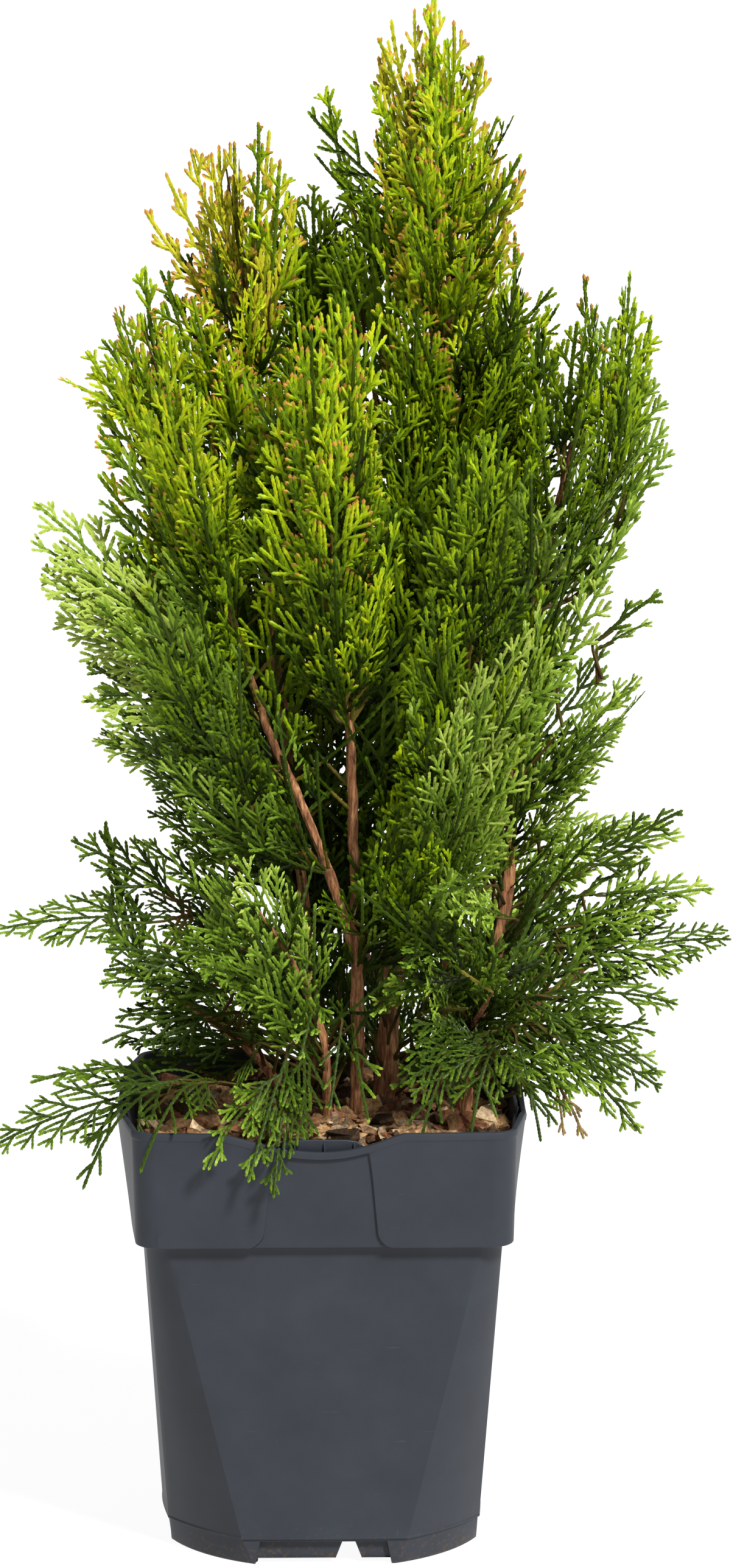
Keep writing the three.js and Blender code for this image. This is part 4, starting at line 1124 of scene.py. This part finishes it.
# Single sprays in the open parts, along the outline and between the masses, by group. Each row: the
# base's and the tip's X, Y and Z, how sunlit it is (below 0 for a dry one), and perhaps its habit.
LONE_SPRAYS = {
    "crown": [
        (20, 20, 530, 12, 10, 602, 0.55, FAN), (24, 18, 540, 19, 8, 600, 0.55, FAN),
        (46, 8, 600, 27, 2, 670, 0.9, SPIKE), (58, 8, 490, 72, 0, 566, 0.72, FAN),
        (15, 12, 588, -2, 4, 645, 0.62, SPIKE), (48, 10, 580, 24, 4, 650, 0.86, SPIKE),
        (44, 10, 556, 25, 2, 634, 0.82, SPIKE), (58, 8, 556, 87, 2, 614, 0.8, SPIKE),
        (56, 8, 574, 79, 2, 634, 0.84, SPIKE), (55, 8, 592, 68, 0, 662, 0.86, SPIKE),
        (30, 14, 520, 17, 6, 608, 0.42, FAN), (32, 12, 524, 26, 2, 600, 0.5, FAN),
        (26, 16, 500, 8, 8, 584, 0.4, FAN), (36, 12, 490, 26, 0, 562, 0.72),
        (40, 10, 480, 39, -4, 560, 0.74), (50, 10, 520, 44, -6, 596, 0.84),
        (52, 10, 520, 60, -6, 592, 0.84), (50, 10, 560, 36, -4, 630, 0.9), (52, 10, 566, 56, -6, 640, 0.92),
        (44, 10, 470, 36, -4, 556, 0.72), (56, 8, 470, 66, -4, 550, 0.72), (40, 8, 440, 30, -10, 520, 0.62),
        (-2, 36, 505, -5, 22, 604, 0.45), (0, 36, 490, -15, 22, 590, 0.45), (4, 36, 500, 2, 22, 582, 0.4),
        (-2, 32, 470, -8, 14, 562, 0.4),
    ],
    "left": [
        (-24, 14, 370, -36, -6, 430, 0.5, FAN), (-70, -10, 440, -98, -14, 468, 0.66),
        (-64, -10, 450, -97, -14, 498, 0.7), (-64, -10, 480, -95, -14, 540, 0.74),
        (-36, -4, 300, -78, -12, 328, 0.34), (-40, -4, 330, -100, -12, 360, 0.44),
        (-30, -4, 290, -66, -12, 314, 0.34), (-30, 16, 560, -25, 6, 632, 0.84, SPIKE),
        (-24, 18, 536, -17, 8, 610, 0.74), (-58, -6, 356, -103, -12, 398, 0.54),
        (-22, 4, 440, -22, -18, 520, 0.74, FAN), (-12, 0, 450, -8, -22, 536, 0.78, FAN),
        (-30, 4, 452, -42, -14, 530, 0.76, FAN), (-44, 8, 450, -56, -6, 530, 0.62),
        (-20, 0, 340, -22, -30, 438, 0.45), (-30, 0, 290, -74, -10, 334, 0.25),
        (-36, -4, 284, -84, -10, 312, 0.25), (-26, 22, 430, -28, 0, 522, 0.55),
        (-28, 22, 420, -44, 4, 514, 0.55), (-30, 22, 440, -20, 2, 508, 0.45),
        (-22, 22, 350, -36, -8, 432, 0.45), (-40, 0, 470, -56, -14, 558, 0.76, FAN),
        (-44, 0, 476, -69, -14, 564, 0.76, FAN), (-36, 4, 476, -47, -12, 546, 0.72, FAN),
        (-60, -8, 372, -122, -14, 440, 0.58), (-54, -8, 346, -104, -14, 380, 0.42),
        (-60, -10, 410, -90, -14, 450, 0.6), (-72, -10, 470, -101, -14, 535, 0.7),
    ],
    "front": [
        (-2, -16, 418, -24, -34, 492, 0.72, FAN), (0, -20, 398, -36, -38, 466, 0.66, FAN),
    ],
    "right": [
        (122, -2, 466, 121, -6, 548, 0.5), (126, -2, 466, 142, -6, 552, 0.55),
        (128, 0, 446, 148, -4, 524, 0.5), (120, -2, 402, 150, -8, 425, 0.46, SPIKE),
        (122, -2, 400, 146, -8, 412, 0.46, SPIKE), (104, -2, 380, 122, -8, 434, 0.46),
        (130, 0, 458, 147, -4, 490, 0.5, SPIKE), (128, 0, 446, 146, -4, 478, 0.5, SPIKE),
        (86, -2, 304, 117, -12, 342, 0.4), (94, -4, 338, 138, -10, 386, 0.46, SPIKE),
        (84, -4, 306, 118, -14, 336, 0.42), (80, -4, 280, 92, -14, 330, 0.4),
        (76, -6, 284, 78, -22, 334, 0.4), (98, -2, 392, 132, -6, 442, 0.45, SPIKE),
        (96, -4, 320, 131, -8, 372, 0.42), (106, 0, 470, 111, -4, 546, 0.5),
    ],
    "low_left": [
        (8, 10, 232, 10, -2, 268, 0.26, FAN), (14, 26, 206, 10, 30, 232, 0.2, FAN),
        (0, 14, 250, -16, 0, 288, 0.26, FAN), (16, 14, 226, 2, 2, 270, 0.3, FAN),
        (17, 8, 220, 6, -6, 256, 0.3, FAN), (-20, 22, 208, -50, 12, 240, 0.16),
        (-2, 28, 206, -22, 24, 242, 0.16), (12, 26, 206, 6, 22, 246, 0.2), (26, 28, 206, 24, 22, 250, 0.16),
        (8, 12, 232, 8, -4, 284, 0.26), (0, 18, 236, -18, 2, 284, 0.26), (-2, 10, 206, -34, -8, 232, 0.22),
        (14, 0, 204, 0, -24, 226, 0.26), (-50, -46, 214, -147, -56, 190, 0.4),
        (-58, -6, 280, -142, -18, 274, 0.25), (-50, -20, 236, -92, -34, 242, 0.3),
        (-30, -20, 226, -78, -40, 226, 0.3), (-30, 10, 218, -92, -8, 222, 0.22),
        (-34, 14, 226, -88, 4, 240, 0.2), (-24, 0, 212, -76, -14, 213, 0.28),
        (-30, 26, 212, -70, 30, 214, 0.16), (-20, -10, 222, -58, -20, 232, 0.2),
        (-12, 10, 224, -36, -14, 240, 0.2), (-6, -10, 220, -22, -38, 240, 0.3),
        (-10, 20, 214, -30, 10, 236, 0.14), (10, 16, 214, -4, 8, 240, 0.14),
        (16, -6, 212, -2, -30, 236, 0.28), (8, -30, 216, 14, -58, 232, 0.3),
        (30, 10, 214, 14, 20, 240, 0.12), (28, 0, 232, 8, -26, 270, 0.3), (24, -4, 218, 22, -36, 256, 0.3),
        (18, -16, 218, 2, -46, 250, 0.32), (1, -30, 235, -40, -62, 317, 0.54),
        (-4, -34, 248, -65, -66, 284, 0.54), (-6, -36, 248, -53, -72, 267, 0.5),
        (-15, -20, 241, -95, -42, 280, 0.3), (-31, -14, 248, -97, -36, 265, 0.3),
        (-40, -16, 248, -98, -44, 257, 0.32), (-37, -20, 240, -97, -50, 233, 0.34),
        (-28, 10, 241, -74, -6, 228, 0.15), (-40, 26, 227, -75, 32, 228, 0.1),
        (-59, -6, 284, -112, -16, 314, 0.2), (-62, -6, 283, -86, -14, 317, 0.2),
        (-62, -50, 216, -108, -64, 172, 0.36), (-59, -10, 212, -130, -22, 209, 0.25, SPIKE),
        (-46, -54, 216, -74, -94, 184, 0.38), (-17, -62, 216, -52, -96, 188, 0.42),
        (-16, -60, 226, -21, -98, 175, 0.42), (-14, -56, 234, -33, -98, 182, 0.42),
        (-28, -38, 230, -42, -64, 205, 0.32), (-8, -46, 238, -10, -78, 192, 0.36),
        (8, -44, 242, 4, -68, 207, 0.3), (13, -46, 240, 16, -76, 203, 0.34),
        (-2, -44, 258, -9, -70, 230, 0.5), (18, -28, 276, -9, -58, 288, 0.45),
        (20, -28, 278, -3, -58, 300, 0.45),
    ],
    "low_right": [
        (92, -10, 262, 158, -14, 282, 0.36), (60, 4, 224, 78, -4, 262, 0.25, FAN),
        (56, 10, 212, 68, 4, 242, 0.2, FAN), (64, 4, 216, 82, -4, 240, 0.2, FAN),
        (74, 0, 270, 94, -10, 304, 0.3, FAN), (84, -2, 286, 110, -14, 306, 0.36),
        (80, -2, 220, 113, -10, 231, 0.3), (70, -4, 226, 108, -22, 232, 0.32),
        (60, 0, 222, 99, -10, 247, 0.28), (62, 4, 216, 95, -2, 226, 0.28),
        (84, -40, 218, 101, -60, 197, 0.36), (78, -6, 248, 102, -20, 268, 0.32),
        (80, -8, 268, 112, -22, 294, 0.34), (34, 30, 206, 42, 24, 248, 0.16),
        (50, 26, 206, 64, 18, 240, 0.2), (42, 0, 206, 44, -22, 240, 0.24),
        (78, -16, 214, 110, -30, 198, 0.34), (76, 0, 212, 104, -6, 200, 0.3),
        (40, 10, 216, 40, 8, 246, 0.14), (44, -10, 224, 36, -34, 246, 0.28),
        (46, -14, 226, 60, -44, 236, 0.3), (86, -6, 262, 136, -12, 290, 0.34),
        (88, -4, 270, 146, -10, 306, 0.34, SPIKE), (90, -12, 252, 182, -12, 272, 0.36),
        (92, -16, 246, 158, -26, 246, 0.36), (88, -12, 230, 148, -24, 232, 0.34),
        (84, -16, 226, 132, -34, 208, 0.34), (80, -20, 222, 112, -44, 207, 0.34),
        (86, 0, 240, 128, 10, 226, 0.2), (84, 4, 246, 140, 14, 250, 0.2), (30, -2, 226, 44, -26, 264, 0.32),
        (34, 0, 218, 52, -30, 240, 0.28), (70, -10, 236, 109, -34, 206, 0.32),
        (72, -12, 226, 96, -30, 200, 0.3), (80, -10, 250, 113, -26, 228, 0.36),
        (104, -20, 208, 118, -18, 182, -0.6, SPIKE), (104, -20, 208, 108, -22, 184, -0.6, SPIKE),
        (104, -10, 274, 174, -14, 294, 0.3), (106, -8, 296, 161, -12, 324, 0.34),
        (104, -12, 268, 161, -20, 261, 0.34), (92, -14, 238, 152, -22, 212, 0.36),
        (88, -14, 236, 143, -24, 186, 0.34), (92, -18, 234, 149, -34, 207, 0.36),
        (86, -20, 234, 122, -36, 200, 0.32), (84, -24, 233, 98, -48, 188, 0.28),
        (83, -40, 226, 64, -86, 187, 0.36), (78, -42, 220, 38, -84, 188, 0.4),
        (76, -38, 228, 27, -68, 220, 0.36), (78, -32, 234, 33, -72, 228, 0.36),
        (69, -26, 256, 28, -68, 254, 0.38), (49, -20, 256, 18, -60, 249, 0.34),
        (61, -34, 294, 43, -72, 322, 0.5), (76, -36, 300, 47, -78, 302, 0.4),
        (86, -34, 284, 54, -80, 298, 0.4), (61, -30, 272, 33, -74, 272, 0.45),
        (50, -38, 248, 43, -68, 225, 0.34), (97, -20, 290, 125, -48, 330, 0.5),
        (116, -8, 290, 160, -12, 291, 0.34), (62, 20, 230, 30, 16, 214, 0.1),
        (52, 14, 240, 86, 20, 216, 0.1),
    ],
    "back": [
        (14, 30, 216, 4, 40, 264, 0.2, FAN), (18, 30, 206, 12, 44, 234, 0.2, FAN),
        (24, 30, 208, 22, 44, 242, 0.2, FAN), (10, 40, 205, -10, 60, 252, 0.2, FAN),
        (-4, 24, 212, -4, 44, 272, 0.2, FAN), (8, 24, 220, 10, 44, 284, 0.2, FAN),
        (28, 22, 224, 18, 44, 286, 0.2, FAN), (-14, 30, 200, -34, 60, 232, 0.2, FAN),
        (0, 30, 200, 4, 66, 234, 0.2, FAN), (24, 30, 200, 34, 66, 234, 0.2, FAN),
        (40, 30, 200, 62, 66, 232, 0.2, FAN), (20, 40, 205, 24, 62, 256, 0.2, FAN),
        (-24, 40, 203, -58, 60, 213, 0.2), (-30, 52, 240, -60, 98, 262, 0.34),
        (-34, 56, 246, -84, 104, 270, 0.34), (-24, 46, 236, -50, 92, 244, 0.3),
        (-30, 52, 244, -52, 84, 286, 0.34), (72, 56, 244, 100, 96, 258, 0.34),
        (74, 60, 250, 112, 96, 272, 0.34), (70, 54, 246, 92, 96, 290, 0.34),
        (66, 50, 236, 84, 92, 246, 0.3), (16, 62, 230, 2, 110, 244, 0.32),
        (16, 62, 230, 32, 112, 246, 0.32), (18, 66, 236, 12, 118, 262, 0.32),
        (14, 56, 228, -8, 98, 238, 0.3), (18, 56, 228, 44, 98, 240, 0.3), (-10, 42, 203, -38, 62, 213, 0.2),
        (4, 42, 203, -18, 62, 213, 0.2), (2, 44, 203, -7, 62, 210, 0.2), (12, 42, 203, 2, 62, 214, 0.2),
        (24, 42, 203, 20, 64, 214, 0.2), (34, 42, 205, 44, 64, 252, 0.2, FAN),
        (0, 40, 205, -40, 56, 246, 0.2, FAN), (48, 40, 205, 66, 60, 246, 0.2, FAN),
        (-16, 36, 205, -60, 50, 238, 0.2, FAN),
    ],
}


def lone_spray(store, row, rng):
    """Lays a single spray, bent upwards until it clears the pot, and its twig from the nearest limb."""
    base, tip = np.array(row[:3], float), np.array(row[3:6], float)
    sun, *habit = row[6:]
    route = branch_route("lone", base, base + (tip - base) * 0.3)
    del limb_points["lone"]
    route = route[np.linalg.norm(route - base, axis=1) < np.linalg.norm(route[0] - base) + 1]
    store["twigs"].append((route, np.linspace(0.9, 0.6, len(route))))
    reach = np.linalg.norm(tip - base)
    ahead = unit(tip - base)
    for lift in (0.1, 0.2, 0.3, 0.4, 0.5, 0.6, 0.7, 0.8):
        middle = base * 0.4 + tip * 0.6 + np.array([0, 0, lift * reach])
        underside = arc(base, middle, tip, np.linspace(0.1, 1, 30))[:, None, :] - [0, 0, 1.6]
        if not in_pot(underside).any():
            break
    normal = square_to(ahead, unit(np.array([0, -0.85, 0.5]) + rng.normal(0, 0.22, 3)))
    habit = habit[0] if habit else SLENDER if sun < 0.45 else FAN
    lay_spray(store, habit, base, middle, tip, normal, sun, rng, LONE_ROOM)


def clothe_stem(store, rng, limb, low, high, count, sun, veil=False):
    """Lays sprays up a stem, turned round it by the golden angle and shortened to end near a mass's skin."""
    line = stem_lines[limb]
    levels = np.linspace(low, high, count) + rng.uniform(-4, 4, count)
    turn = rng.uniform(0, 6.28)
    for level in levels:
        i = int(np.argmin(np.abs(line[:, 2] - level)))
        turn += GOLDEN + rng.normal(0, 0.3)
        around = np.array([math.cos(turn), math.sin(turn), 0])
        reach = rng.uniform(64, 112)
        if veil:
            around = unit(np.array([0.7 * math.cos(turn), -1, 0]))
        ahead = unit(around + np.array([0, 0, rng.uniform(0.8, 1.7) + 1.4 * veil]))
        base = line[i]
        for _ in range(6):
            tip = base + ahead * reach
            _, _, _, gap = crown.find_nearest(Vector(tip * 0.001))
            if gap < STEM_ROOM * 0.001:
                break
            reach *= 0.86
        if reach < 1.5 * SHORTEST_SPRAY:
            continue
        middle = (base + tip) / 2 + (around - [0, 0, 1.0]) * 0.06 * reach
        habit = FAN if rng.random() < 0.5 else UPRIGHT
        lay_spray(store, habit, base, middle, tip, facing(tip, ahead, 0.4, rng), sun, rng)


def twig_bark():
    """Young bark on twigs: smooth olive-brown, reddening as it ages, with little gloss."""
    gloss = {"Roughness": 0.6, "Specular IOR Level": 0.1}
    stops = [(0.35, "#3c2a12"), (0.65, "#4c481c")]
    return streaked_bark("twig_bark", gloss, {}, 12, 3, 0.5, stops, None)


young_bark = twig_bark()
TWIG_SIDES = 5
LEAF_FACES = [[0, 1, 2], [0, 2, 3], [1, 0, 5], [1, 5, 4]]  # both sides of its fold, from a leaf's corners
rng = np.random.default_rng(2576)
for group, masses in MASSES.items():
    store = {"leaves": [], "colours": [], "twigs": []}
    for name, row in masses.items():
        if row:
            clothe_mass(store, name, row, rng)
    for row in STEM_SPRAYS[group]:
        clothe_stem(store, rng, *row)
    for row in LONE_SPRAYS[group]:
        lone_spray(store, row, rng)
    leaves = np.concatenate(store["leaves"])
    colours = np.concatenate(store["colours"])
    corners = np.arange(len(leaves) * 6).reshape(-1, 6)
    faces = corners[:, LEAF_FACES].reshape(-1, 3)
    choice = np.repeat(colours, len(LEAF_FACES))
    piece = add_piece("leaves_" + group, leaves.reshape(-1, 3), faces, leaf_materials, choice)
    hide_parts(*masses)
    points = []
    faces = []
    for line, girths in store["twigs"]:
        twig_points, twig_faces = tube(line, girths, TWIG_SIDES)
        faces += [[v + len(points) for v in face] for face in twig_faces]
        points.extend(twig_points)
    twigs = add_piece("twigs_" + group, points, faces, [young_bark])
    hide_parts(*masses)

# ---------- floor and light ----------
# A plain pale floor and soft studio light: a broad key high up in front and to the right, and an even
# fill that is a little brighter on that side.

HALF_FLOOR = 40  # metres
floor_mesh = bpy.data.meshes.new("floor")
floor_corners = [(x * HALF_FLOOR, y * HALF_FLOOR, 0) for x, y in ((-1, -1), (1, -1), (1, 1), (-1, 1))]
floor_mesh.from_pydata(floor_corners, [], [(0, 1, 2, 3)])
floor = bpy.data.objects.new("floor", floor_mesh)
# white acrylic lit from below: it looks almost white, and shadows on it stay faint
glow = {"Emission Color": (1, 1, 1, 1), "Emission Strength": 0.94}
acrylic, _, _ = new_material("lit_white_acrylic", {"Base Color": linear("#5c5c5c"), "Roughness": 0.9, **glow})
floor_mesh.materials.append(acrylic)
scene.collection.objects.link(floor)

world = bpy.data.worlds.new("studio")
world.use_nodes = True
sky = world.node_tree
background = sky.nodes["Background"]
background.inputs["Color"].default_value = (1, 1, 1, 1)
around = node(sky, "ShaderNodeTexCoord").outputs["Generated"]
across = node(sky, "ShaderNodeSeparateXYZ", {}, {"Vector": around}).outputs["X"]
brighter_right = {"From Min": -0.8, "From Max": 0.8, "To Min": 0.2, "To Max": 0.36}
fill = node(sky, "ShaderNodeMapRange", brighter_right, {"Value": across})
sky.links.new(fill.outputs["Result"], background.inputs["Strength"])
scene.world = world

sun_light = bpy.data.lights.new("key", "SUN")
sun_light.energy = 5.5
sun_light.angle = math.radians(11)
key = bpy.data.objects.new("key", sun_light)
key.rotation_euler = (math.radians(44), 0, math.radians(37))
scene.collection.objects.link(key)

scene.view_settings.view_transform = "Standard"
